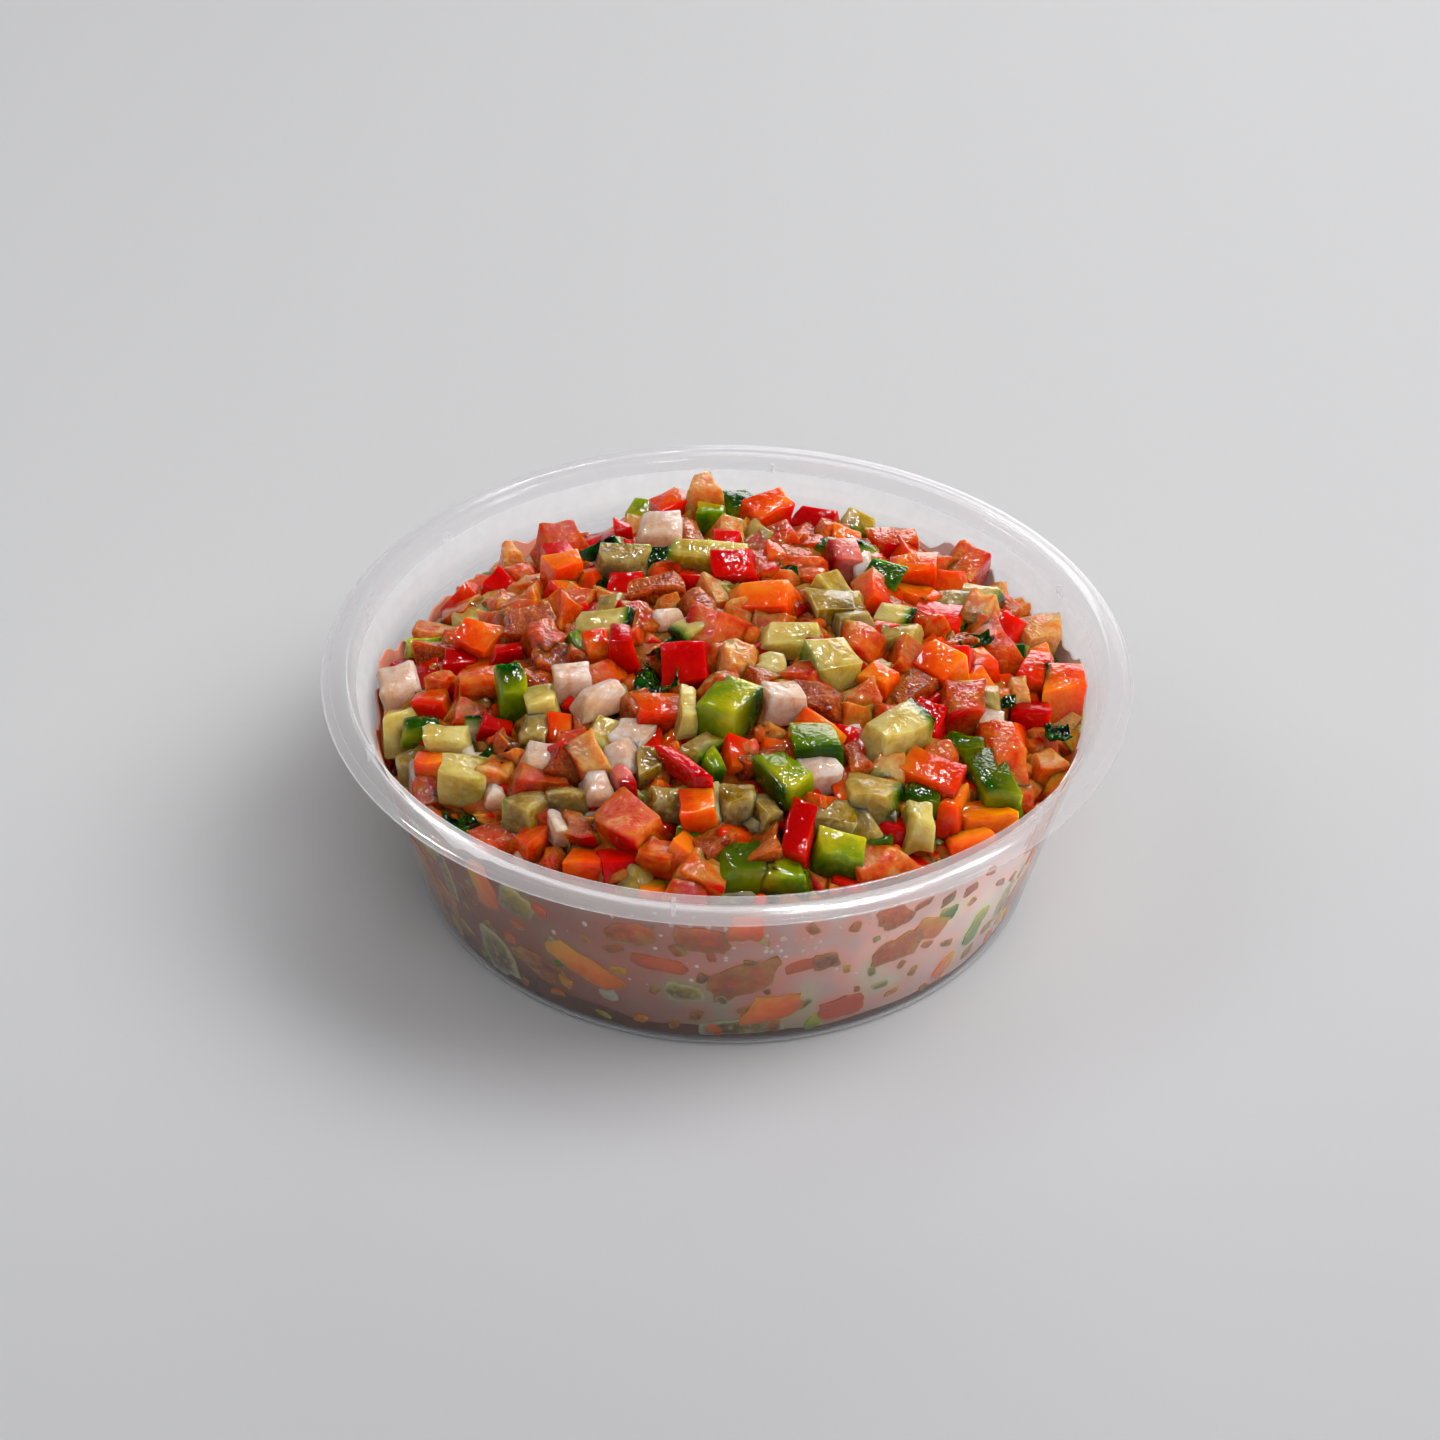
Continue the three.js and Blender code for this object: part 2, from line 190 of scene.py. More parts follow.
def blend(tree, factor, first, second):
    """A mix of two colours."""
    made = node(tree, "Mix", data_type="RGBA")
    for socket, value in zip(("Factor_Float", "A_Color", "B_Color"), (factor, first, second)):
        plug(tree, next(i for i in made.inputs if i.identifier == socket), value)
    return next(o for o in made.outputs if o.identifier == "Result_Color")


def reckon(tree, operation, first, second=0.0, clamp=False):
    """One sum on numbers."""
    made = node(tree, "Math", operation=operation, use_clamp=clamp)
    plug(tree, made.inputs[0], first)
    plug(tree, made.inputs[1], second)
    return made.outputs[0]


def new_finish(name, **sockets):
    """A material, its node tree and its Principled shader with these sockets set."""
    material = bpy.data.materials.new(name)
    material.use_nodes = True
    shader = material.node_tree.nodes["Principled BSDF"]
    for key, value in sockets.items():
        shader.inputs[key.replace("_", " ")].default_value = value
    return material, material.node_tree, shader


def span(tree, value, start, end, low=0.0, high=1.0):
    """Stretches start to end of a value on to low to high, and stops there."""
    sockets = {"Value": value, "From Min": start, "From Max": end, "To Min": low, "To Max": high}
    return node(tree, "MapRange", sockets).outputs[0]


def place_of(tree):
    """The surface point in the piece's own space, in metres."""
    return node(tree, "TexCoord").outputs["Object"]


def grain(tree, size, detail=3.0, roughness=0.55):
    """Cloudy noise with features of about size millimetres."""
    sockets = {"Vector": place_of(tree), "Scale": 1 / (size * MM), "Detail": detail}
    return node(tree, "TexNoise", {**sockets, "Roughness": roughness}).outputs["Fac"]


def cells(tree, size, feature="F1"):
    """Rounded cells of about size millimetres: 0 in each middle."""
    sockets = {"Vector": place_of(tree), "Scale": 1 / (size * MM)}
    return node(tree, "TexVoronoi", sockets, feature=feature).outputs["Distance"]


def relief(tree, height, distance, normal=None):
    """A bump that is distance millimetres deep."""
    made = node(tree, "Bump", {"Height": height, "Strength": 1.0, "Distance": distance * MM})
    if normal is not None:
        plug(tree, made.inputs["Normal"], normal)
    return made.outputs["Normal"]


def own(tree, name):
    """A number that the mesh keeps at each corner of the piece."""
    return node(tree, "Attribute", attribute_name=name).outputs["Fac"]


print("helpers ready")

# %% [markdown]
# The table is a matt sheet with painted shade: its colour is a little greyer towards the camera,
# where less light falls, as in the photo. A trace of cloudiness keeps it from looking computed.

# %% The table
TABLE_HALF = 1.6
PAINTED_FALLOFF_TONES = (0.0, srgb(135, 135, 138)), (0.5, srgb(155, 155, 156)), (1.0, srgb(156, 156, 157))
sheet = bmesh.new()
bmesh.ops.create_grid(sheet, x_segments=4, y_segments=4, size=TABLE_HALF)
table_mesh = bpy.data.meshes.new("table")
sheet.to_mesh(table_mesh)
sheet.free()
table = bpy.data.objects.new("table", table_mesh)
bpy.context.scene.collection.objects.link(table)
table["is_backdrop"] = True

paper, tree, shader = new_finish("table_sheet", Roughness=0.75)
back = node(tree, "SeparateXYZ", {"Vector": place_of(tree)}).outputs["Y"]
cloud = node(tree, "TexNoise", {"Vector": place_of(tree), "Scale": 3.0}).outputs["Fac"]
# Painted shade: the colour darkens towards the camera and lightens towards the back.
depth = reckon(tree, "ADD", span(tree, back, -0.2, 0.25), span(tree, cloud, 0.3, 0.7, -0.03, 0.03))
plug(tree, shader.inputs["Base Color"], ramp(tree, depth, *PAINTED_FALLOFF_TONES))
table.data.materials.append(paper)

# %% [markdown]
# ## The tub
# A real tub is blown or moulded in one piece with a wall under a millimetre thick, so it is one
# turned outline. The outline runs from the middle of the base, up the outside, round the rolled
# bead, over the lip, and down the inside past the collar and the ledge. Bmesh's spin turns it
# once round the axis. Its sizes are the ones that the CAD part was made from.

# %% The tub's outline
LIP_HEIGHT = 34.9
LIP_RADIUS = 54.87
BEAD_RADIUS = 58.5
BEAD_DROP = 1.75
BASE_RADIUS = 45.7
WALL = 0.7
FLOOR = 0.8
BASE_CORNER = 1.2
LEDGE_RADIUS = 52.6
LEDGE_DROP = 4.3
COLLAR_RADIUS = 53.4
COLLAR_DROP = 3.2
TURN_STEPS = 192
OUTSIDE, LIP, INSIDE, RIB = range(4)

INSIDE_BASE = Vector((BASE_RADIUS - WALL, FLOOR + BASE_CORNER))
INSIDE_TOP = Vector((LEDGE_RADIUS, LIP_HEIGHT - LEDGE_DROP))


def inside_radius(height):
    """How far the inside of the wall is from the axis at this height, in millimetres."""
    part = (height - INSIDE_BASE.y) / (INSIDE_TOP.y - INSIDE_BASE.y)
    return INSIDE_BASE.x + min(part, 1) * (INSIDE_TOP.x - INSIDE_BASE.x)


def arc(middle, radius, start, end, steps):
    """Points on an arc, angles in degrees, counted from straight out."""
    angles = [math.radians(start + (end - start) * i / steps) for i in range(steps + 1)]
    return [(middle[0] + radius * math.cos(a), middle[1] + radius * math.sin(a)) for a in angles]


ledge, collar, bead = (LIP_HEIGHT - drop for drop in (LEDGE_DROP, COLLAR_DROP, BEAD_DROP))
outside = [(0, 0), (BASE_RADIUS * 0.5, 0)]
outside += arc((BASE_RADIUS - BASE_CORNER, BASE_CORNER), BASE_CORNER, -90, 0, 6)
outside += [(LEDGE_RADIUS + WALL, ledge)]
lip = [(LEDGE_RADIUS + WALL + 0.1, ledge + 0.15), (COLLAR_RADIUS + WALL, collar)]
lip += arc((COLLAR_RADIUS + WALL + 1.2, bead - 0.75), 1.0, 180, 100, 5)
lip += arc((BEAD_RADIUS - 0.6, bead - 0.05), 0.6, -110, 60, 10)
lip += arc((BEAD_RADIUS - 1.05, bead + 0.72), 0.22, 270, 160, 4)
lip += [(LIP_RADIUS + 1.6, LIP_HEIGHT - 0.42)]
lip += arc((LIP_RADIUS + 0.1, LIP_HEIGHT - 0.45), 0.45, 70, 178, 6)
inside = [(COLLAR_RADIUS + 0.12, collar + 0.3), (COLLAR_RADIUS - 0.12, collar - 0.08)]
inside += [(LEDGE_RADIUS + 0.25, ledge + 0.35), (INSIDE_TOP.x, INSIDE_TOP.y)]
inside += [(inside_radius(20), 20), (inside_radius(10), 10)]
inside += arc((INSIDE_BASE.x - BASE_CORNER, FLOOR + BASE_CORNER), BASE_CORNER, 0, -90, 5)
inside += [(BASE_RADIUS * 0.5, FLOOR), (0, FLOOR)]
outline = [(point, part) for part, run in enumerate((outside, lip, inside)) for point in run]
print(len(outline), "points in the tub's outline")

# %% [markdown]
# Each face remembers whether it is outside, lip, inside or rib, because frosted plastic looks
# clear where it is wet and pressed against food, and white where it is dry. The six short ribs
# inside the collar keep stacked tubs from wedging together.

# %% Turn the tub and add its ribs
RIBS = 6
RIB_FIRST = 23  # degrees
RIB_SIZE = Vector((1.0, 0.5, 2.6))
RIB_DROP = 1.7  # from the lip down to a rib's top
RIB_OUT = 0.55  # from the inside of the collar out to a rib's middle
SMOOTH_ANGLE = 40
DIE_SMOOTH_ANGLE = 50
DROP_SMOOTH_ANGLE = 80


def finished(bm, name, finishes, smooth_angle=SMOOTH_ANGLE):
    """Makes the bmesh an object of the part, smooth but for its sharp edges."""
    mesh = bpy.data.meshes.new(name)
    bm.to_mesh(mesh)
    bm.free()
    for finish in finishes:
        mesh.materials.append(finish)
    mesh.shade_smooth()
    mesh.set_sharp_from_angle(angle=math.radians(smooth_angle))
    piece = bpy.data.objects.new(name, mesh)
    bpy.context.scene.collection.objects.link(piece)
    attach(piece, BODY)
    return piece


def of_heap(bm, name, finish, smooth_angle=SMOOTH_ANGLE):
    """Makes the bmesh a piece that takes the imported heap's place."""
    piece = finished(bm, name, [finish], smooth_angle)
    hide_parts("salad_heap")
    return piece


def turned(points, steps=TURN_STEPS):
    """A bmesh of an outline of (radius, height) points in mm, spun once round the axis."""
    bm = bmesh.new()
    corners = [bm.verts.new(Vector((radius, 0, height)) * MM) for radius, height in points]
    edges = [bm.edges.new(pair) for pair in zip(corners, corners[1:])]
    bmesh.ops.spin(bm, geom=corners + edges, axis=(0, 0, 1), cent=(0, 0, 0),
                   angle=2 * math.pi, steps=steps, use_merge=True)
    bmesh.ops.remove_doubles(bm, verts=bm.verts, dist=0.002 * MM)
    bmesh.ops.recalc_face_normals(bm, faces=bm.faces)
    return bm


tub = turned([point for point, _ in outline])
marks = [(Vector(point), part) for point, part in outline]
for face in tub.faces:
    middle = face.calc_center_median() / MM
    spot = Vector((middle.xy.length, middle.z))
    face.material_index = min(marks, key=lambda mark: (mark[0] - spot).length)[1]
for face in tub.faces:
    middle = face.calc_center_median() / MM
    if middle.z < ledge:
        mid_wall = inside_radius(middle.z) + WALL / 2
        shell = middle.z < FLOOR / 2 or middle.xy.length > mid_wall
        face.material_index = OUTSIDE if shell else INSIDE
for rib in range(RIBS):
    made = bmesh.ops.create_cube(tub, size=1)["verts"]
    middle = Vector((COLLAR_RADIUS + RIB_OUT, 0, LIP_HEIGHT - RIB_DROP - RIB_SIZE.z / 2)) * MM
    bmesh.ops.scale(tub, vec=RIB_SIZE * MM, verts=made)
    bmesh.ops.translate(tub, vec=middle, verts=made)
    turn = Matrix.Rotation(math.radians(RIB_FIRST + rib * 360 / RIBS), 4, "Z")
    bmesh.ops.transform(tub, matrix=turn, verts=made)
    for face in {f for v in made for f in v.link_faces}:
        face.material_index = RIB
print("tub has", len(tub.faces), "faces")

# %% [markdown]
# The plastic is not glass: light scatters inside it. So its finish mixes a see-through part with
# a milky part that glows from both sides, and a clear gloss on top. The outside, the lip, the
# inside and the ribs differ only in how milky they are and how much of the milk glows.

# %% Frosted plastic
MILK = {  # share of milk where wet and where dry, and how much of it glows from behind
    "outside": (0.02, 0.12, 0.4),
    "lip": (0.22, 0.22, 0.78),
    "inside": (0.06, 0.8, 0.82),
    "rib": (0.25, 0.25, 0.55),
}
CORNER_MILK = 0.22
CORNER_FROM, CORNER_TO = 2.6, 0.6
RIM_MILK = 0.26
WET_BELOW = 25
DRY_ABOVE = 29
SHINE_ROUGHNESS = 0.13
SHINE_FACING, SHINE_EDGE_ON = 0.04, 0.3
MILK_WHITE = srgb(252, 252, 252)
CLEAR = srgb(250, 250, 251)


def frosted(name, wet_milk, dry_milk, behind):
    """See-through plastic, less milky where food wets it than where it is dry."""
    material, tree, shader = new_finish("plastic_" + name, Roughness=0.22, IOR=1.49)
    shader.inputs["Base Color"].default_value = MILK_WHITE
    shader.inputs["Specular IOR Level"].default_value = 0.5
    waves = relief(tree, grain(tree, 12, 2.0), 0.03)
    plug(tree, shader.inputs["Normal"], waves)
    glow = node(tree, "BsdfTranslucent", {"Color": MILK_WHITE})
    clear = node(tree, "BsdfTransparent", {"Color": CLEAR})
    both = node(tree, "MixShader", {0: behind, 1: shader.outputs[0], 2: glow.outputs[0]})
    height = node(tree, "SeparateXYZ", {"Vector": place_of(tree)}).outputs["Z"]
    dry = {"From Min": WET_BELOW * MM, "From Max": DRY_ABOVE * MM}
    milk = node(tree, "MapRange", {"Value": height, **dry, "To Min": wet_milk, "To Max": dry_milk})
    cloud = node(tree, "MapRange", {"Value": grain(tree, 2.5, 4.0), "To Min": 0.88, "To Max": 1.12})
    slant = node(tree, "LayerWeight", {"Blend": 0.5, "Normal": waves}).outputs["Facing"]
    rim = reckon(tree, "MULTIPLY", reckon(tree, "POWER", slant, 3.0), RIM_MILK)
    share = reckon(tree, "MULTIPLY", milk.outputs[0], cloud.outputs[0])
    corner = span(tree, height, CORNER_FROM * MM, CORNER_TO * MM, 0.0, CORNER_MILK)
    share = reckon(tree, "ADD", reckon(tree, "ADD", share, rim), corner, clamp=True)
    mixed = node(tree, "MixShader", {0: share, 1: clear.outputs[0], 2: both.outputs[0]})
    shine = node(tree, "BsdfGlossy", {"Roughness": SHINE_ROUGHNESS, "Normal": waves})
    edge_on = reckon(tree, "MULTIPLY_ADD", reckon(tree, "POWER", slant, 5.0), SHINE_EDGE_ON)
    edge_on.node.inputs[2].default_value = SHINE_FACING
    glossy = node(tree, "MixShader", {0: edge_on, 1: mixed.outputs[0], 2: shine.outputs[0]})
    plug(tree, tree.nodes["Material Output"].inputs["Surface"], glossy.outputs[0])
    return material


plastics = [frosted(name, *milk) for name, milk in MILK.items()]
tub_piece = finished(tub, "tub_shell", plastics)
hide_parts("tub")

# %% [markdown]
# ## The shape of the heap
# The heap is a low dome that leans a little towards the front and the right. This is the same
# rule that the CAD heap follows, so every die lies where its solid does.

# %% How high the heap is
HEAP_EDGE = 24
HEAP_PEAK = 37
HEAP_RADIUS = 51
HEAP_SHOULDER = 2.6
HEAP_LEAN = 0.03
SEED = 20
draw = random.Random(SEED)


def heap_height(across, back):
    """The height of the dice's middles at this place, all in millimetres."""
    out = min(1, math.hypot(across, back) / HEAP_RADIUS)
    dome = (HEAP_PEAK - HEAP_EDGE) * (1 - out**HEAP_SHOULDER)
    return HEAP_EDGE + dome + HEAP_LEAN * (across - back)


print("the heap peaks", round(heap_height(0, 0) - LIP_HEIGHT, 1), "mm above the lip")

# %% [markdown]
# ## The vegetables' finishes
# All are wet, so each is glossy, with a ripple that breaks the gloss into glints, over soft flesh
# in which light spreads. Tomato, cucumber and onion also let some of it straight through. A
# die's mesh keeps four numbers: depth, how many millimetres a point lies under the skin side;
# tone, one draw for each die, so that no two are alike; run, from its foot to its top; and
# whether it presses on the wall.

# %% Finishes for flesh and skin
LIT = 0.54  # how much of a colour seen in this light is the flesh's own
GLOSS = 0.025  # the grey that the gloss adds to what shows
PURITY = 1.85  # and so much purer is the flesh than what shows
WALL_PAINTED_LIGHT = 1.95  # painted light: dice at the wall are painted this much brighter, as if lit by the milky plastic round them
WALL_HUE = 0.517  # and a trace yellower, where 0.5 is no change
WET_ROUGHNESS = 0.05
SPREAD = 7.0  # how many millimetres light spreads in glassy flesh
CLEAR_SHARE = {"tomato": 0.4, "cucumber": 0.32, "onion": 0.35}  # what passes straight through
CLEAR_LIFT = {"tomato": 1.3, "cucumber": 1.24, "onion": 1.3}  # and what makes up for it
RIPPLE_SIZE, RIPPLE_DEPTH = 0.9, 0.1


def seen(red, green, blue):
    """The flesh's own colour where it shows as this one, 0 to 255 each, on a lit side."""
    linear = [max(0.0005, part - GLOSS) for part in srgb(red, green, blue)[:3]]
    return (*(LIT * max(linear) * (part / max(linear)) ** PURITY for part in linear), 1.0)


def wet(name, spread=SPREAD, glow=(1.0, 0.4, 0.12), clear=0.0):
    """A wet vegetable finish to fill in, in which light spreads this many millimetres."""
    material, tree, shader = new_finish(name, Roughness=WET_ROUGHNESS, IOR=1.4)
    shader.inputs["Specular IOR Level"].default_value = 0.45
    shader.inputs["Subsurface Weight"].default_value = 1.0
    shader.inputs["Subsurface Radius"].default_value = glow
    shader.inputs["Subsurface Scale"].default_value = spread * MM
    shader.inputs["Transmission Weight"].default_value = clear
    return material, tree, shader


def paint(tree, shader, colour, lit=1.0):
    """Sets the colour, brighter for glassy flesh, and brighter by painted light for the dice that
    press on the wall.
    """
    at_wall = own(tree, "wall")
    lift = span(tree, at_wall, 0, 1, lit, WALL_PAINTED_LIGHT)
    hue = span(tree, at_wall, 0, 1, 0.5, WALL_HUE)
    made = node(tree, "HueSaturation", {"Color": colour, "Value": lift, "Hue": hue})
    plug(tree, shader.inputs["Base Color"], made.outputs["Color"])


def mottle(tree, value, size, amount):
    """Adds clouds of this size in millimetres to a 0 to 1 value."""
    cloud = span(tree, grain(tree, size, 2.0), 0.25, 0.75, -amount, amount)
    return reckon(tree, "ADD", value, cloud, clamp=True)


def painted_edge_light(tree, strength):
    """Painted light: how much paler thin edges are painted than the thick middle of glassy flesh,
    as if light caught them.
    """
    pointed = node(tree, "NewGeometry").outputs["Pointiness"]
    return span(tree, pointed, 0.51, 0.6, 0.0, strength)


def wet_skin(tree, shader, lump, depth, normal=None):
    """Lumps of this size and depth in mm, with the ripple that makes wet flesh glitter."""
    ripple = relief(tree, grain(tree, RIPPLE_SIZE, 1.0), RIPPLE_DEPTH, normal)
    plug(tree, shader.inputs["Normal"], relief(tree, grain(tree, lump), depth, ripple))


def lit_top_shaded_foot(tree, size, top, foot, low=0.3, high=0.8):
    """Painted light and shade: the top colour above, paler as if lit, and the foot colour below,
    deeper as if in shade, with a cloudy border.
    """
    return blend(tree, span(tree, mottle(tree, own(tree, "run"), size, 0.25), low, high), foot, top)


def clouded(tree, first, second, size, start, end, most, detail=4.0):
    """The first colour, with clouds of this size in mm of up to this much of the second."""
    share = span(tree, grain(tree, size, detail), start, end, 0, most)
    return blend(tree, share, first, second)


def tomato_finish():
    """Juicy flesh from maroon to peach, granular where dark and glassy where pale."""
    glow, clear = (1.0, 0.35, 0.12), CLEAR_SHARE["tomato"]
    material, tree, shader = wet("tomato_flesh", SPREAD, glow, clear)
    tone = mottle(tree, own(tree, "tone"), 2.2, 0.28)
    # Painted light and shade: top colours for a die's lit top, foot colours for its shaded foot.
    top = ramp(
        tree, tone,
        (0.0, seen(172, 104, 62)), (0.14, seen(206, 150, 94)), (0.28, seen(212, 152, 66)),
        (0.42, seen(222, 106, 50)), (0.6, seen(240, 150, 60)), (0.78, seen(242, 180, 106)),
        (1.0, seen(248, 214, 164)),
    )
    foot = ramp(
        tree, tone,
        (0.0, seen(116, 50, 20)), (0.14, seen(154, 88, 44)), (0.28, seen(170, 100, 30)),
        (0.42, seen(198, 64, 18)), (0.6, seen(224, 112, 22)), (0.78, seen(230, 142, 54)),
        (1.0, seen(234, 168, 84)),
    )
    flesh = lit_top_shaded_foot(tree, 1.8, top, foot)
    dark = span(tree, own(tree, "tone"), 0.2, 0.36, 1.0, 0.12)
    granules = reckon(tree, "MULTIPLY", span(tree, cells(tree, 0.6), 0.2, 0.65, 0, 0.28), dark)
    flesh = blend(tree, granules, flesh, seen(112, 30, 4))
    # Painted glints: fine pale specks on the dark granular flesh.
    painted_glints = reckon(tree, "MULTIPLY", span(tree, grain(tree, 0.25, 1.0), 0.58, 0.68, 0, 0.5), dark)
    flesh = blend(tree, painted_glints, flesh, seen(240, 180, 136))
    flesh = clouded(tree, flesh, seen(244, 166, 104), 1.4, 0.5, 0.75, 0.4)
    flesh = blend(tree, painted_edge_light(tree, 0.45), flesh, seen(248, 176, 110))
    skin = blend(tree, grain(tree, 4), seen(190, 14, 2), seen(222, 56, 4))
    colour = blend(tree, span(tree, own(tree, "depth"), 0.3, 1.0), skin, flesh)
    paint(tree, shader, colour, CLEAR_LIFT["tomato"])
    rough = node(tree, "Bump", {"Height": cells(tree, 0.6), "Strength": dark})
    rough.inputs["Distance"].default_value = 0.09 * MM
    wet_skin(tree, shader, 1.8, 0.45, rough.outputs["Normal"])
    return material


def pepper_finish(name, glow, skin, deep, flesh, pale):
    """Crisp flesh, painted pale on top as painted light and deep at its foot as painted shade,
    under a smooth, shiny skin.
    """
    material, tree, shader = wet(name, SPREAD, glow)
    # Painted light and shade: deep at the foot, pale at the top.
    inner = ramp(
        tree, mottle(tree, own(tree, "run"), 2.2, 0.16), (0.2, deep), (0.6, flesh), (1.0, pale)
    )
    inner = clouded(tree, inner, pale, 1.0, 0.5, 0.8, 0.3)
    colour = blend(tree, span(tree, own(tree, "depth"), 0.25, 1.5), skin, inner)
    shade = span(tree, own(tree, "tone"), 0, 1, 0, 0.5)
    paint(tree, shader, blend(tree, shade, colour, deep))
    wet_skin(tree, shader, 2.2, 0.3)
    return material


def cucumber_finish():
    """Pale glassy flesh, from cream to olive, that greens towards a dark skin."""
    glow, clear = (1.0, 0.85, 0.3), CLEAR_SHARE["cucumber"]
    material, tree, shader = wet("cucumber_flesh", SPREAD, glow, clear)
    tone = mottle(tree, own(tree, "tone"), 2.6, 0.22)
    # Painted light and shade: top colours for a die's lit top, foot colours for its shaded foot.
    top = ramp(
        tree, tone,
        (0.0, seen(234, 222, 170)), (0.25, seen(216, 196, 126)), (0.5, seen(192, 170, 80)),
        (0.75, seen(170, 148, 56)), (1.0, seen(144, 124, 40)),
    )
    foot = ramp(
        tree, tone,
        (0.0, seen(200, 188, 102)), (0.25, seen(176, 160, 64)), (0.5, seen(150, 132, 36)),
        (0.75, seen(126, 108, 24)), (1.0, seen(102, 86, 18)),
    )
    pale = lit_top_shaded_foot(tree, 1.6, top, foot)
    pale = clouded(tree, pale, seen(248, 240, 204), 0.9, 0.5, 0.8, 0.4)
    pale = blend(tree, painted_edge_light(tree, 0.5), pale, seen(246, 240, 208))
    near = blend(tree, span(tree, own(tree, "depth"), 0.7, 2.1), seen(96, 122, 6), pale)
    skin = clouded(tree, seen(14, 42, 4), seen(52, 88, 10), 1.1, 0.45, 0.65, 1, detail=3.0)
    colour = blend(tree, span(tree, own(tree, "depth"), 0.4, 0.9), skin, near)
    paint(tree, shader, colour, CLEAR_LIFT["cucumber"])
    wet_skin(tree, shader, 2.2, 0.3, relief(tree, cells(tree, 1.1), 0.05))
    return material


def onion_finish():
    """White, pink-tinged and glassy, with faint layers."""
    glow, clear = (1.0, 0.75, 0.55), CLEAR_SHARE["onion"]
    material, tree, shader = wet("onion_flesh", SPREAD, glow, clear)
    tint = ramp(
        tree, mottle(tree, own(tree, "tone"), 2.5, 0.2),
        (0.0, seen(234, 188, 166)), (0.5, seen(234, 208, 186)), (1.0, seen(216, 194, 154)),
    )
    # Painted light and shade: white on the lit top, tinted at the shaded foot.
    white = lit_top_shaded_foot(tree, 1.8, seen(250, 240, 234), tint, 0.3, 1.0)
    white = clouded(tree, white, seen(212, 170, 142), 1.2, 0.42, 0.7, 0.6, detail=3.0)
    white = blend(tree, painted_edge_light(tree, 0.6), white, seen(250, 230, 210))
    paint(tree, shader, white, CLEAR_LIFT["onion"])
    wet_skin(tree, shader, 2.0, 0.4)
    return material


def radish_finish():
    """White flesh under a crimson skin."""
    material, tree, shader = wet("radish_flesh", 3.0)
    flesh = blend(tree, grain(tree, 1.6), seen(236, 190, 178), seen(214, 100, 96))
    colour = blend(tree, span(tree, own(tree, "depth"), 0.9, 2.2), seen(168, 0, 8), flesh)
    paint(tree, shader, colour)
    wet_skin(tree, shader, 2.0, 0.3)
    return material


def herb_finish():
    """Dark wet leaf, veined and crumpled."""
    material, tree, shader = wet("herb_leaf", 0.4, glow=(0.8, 1.0, 0.1))
    leaf = clouded(tree, seen(12, 34, 2), seen(62, 92, 6), 1.1, 0.35, 0.7, 1, detail=3.0)
    paint(tree, shader, leaf)
    plug(tree, shader.inputs["Normal"], relief(tree, cells(tree, 0.9), 0.25))
    return material


def seed_finish():
    """Smooth ivory seeds."""
    material, tree, shader = wet("seed_coat", 1.0)
    ivory = blend(tree, grain(tree, 0.8), seen(220, 176, 96), seen(184, 120, 50))
    paint(tree, shader, ivory)
    return material


def pepper(colour, glow, *tones):
    """The finish of one colour of pepper, from how its skin, its deep foot in painted shade, its
    flesh and its pale top in painted light show.
    """
    return pepper_finish(colour + "_flesh", glow, *(seen(*tone) for tone in tones))


WARM, GREEN = (1.0, 0.35, 0.04), (0.9, 1.0, 0.1)
ORANGE_TONES = (230, 86, 0), (212, 82, 0), (250, 142, 12), (255, 190, 92)
RED_TONES = (188, 4, 0), (168, 8, 0), (222, 44, 2), (236, 92, 20)
GREEN_TONES = (28, 70, 8), (80, 98, 0), (138, 150, 10), (198, 190, 84)
YELLOW_TONES = (220, 110, 0), (212, 110, 0), (236, 152, 6), (244, 188, 48)
KINDS = {
    "tomato": tomato_finish(),
    "orange_pepper": pepper("orange", WARM, *ORANGE_TONES),
    "red_pepper": pepper("red", WARM, *RED_TONES),
    "green_pepper": pepper("green", GREEN, *GREEN_TONES),
    "yellow_pepper": pepper("yellow", WARM, *YELLOW_TONES),
    "cucumber": cucumber_finish(),
    "onion": onion_finish(),
    "radish": radish_finish(),
    "herbs": herb_finish(),
    "seeds": seed_finish(),
}
print(len(KINDS), "kinds of piece")
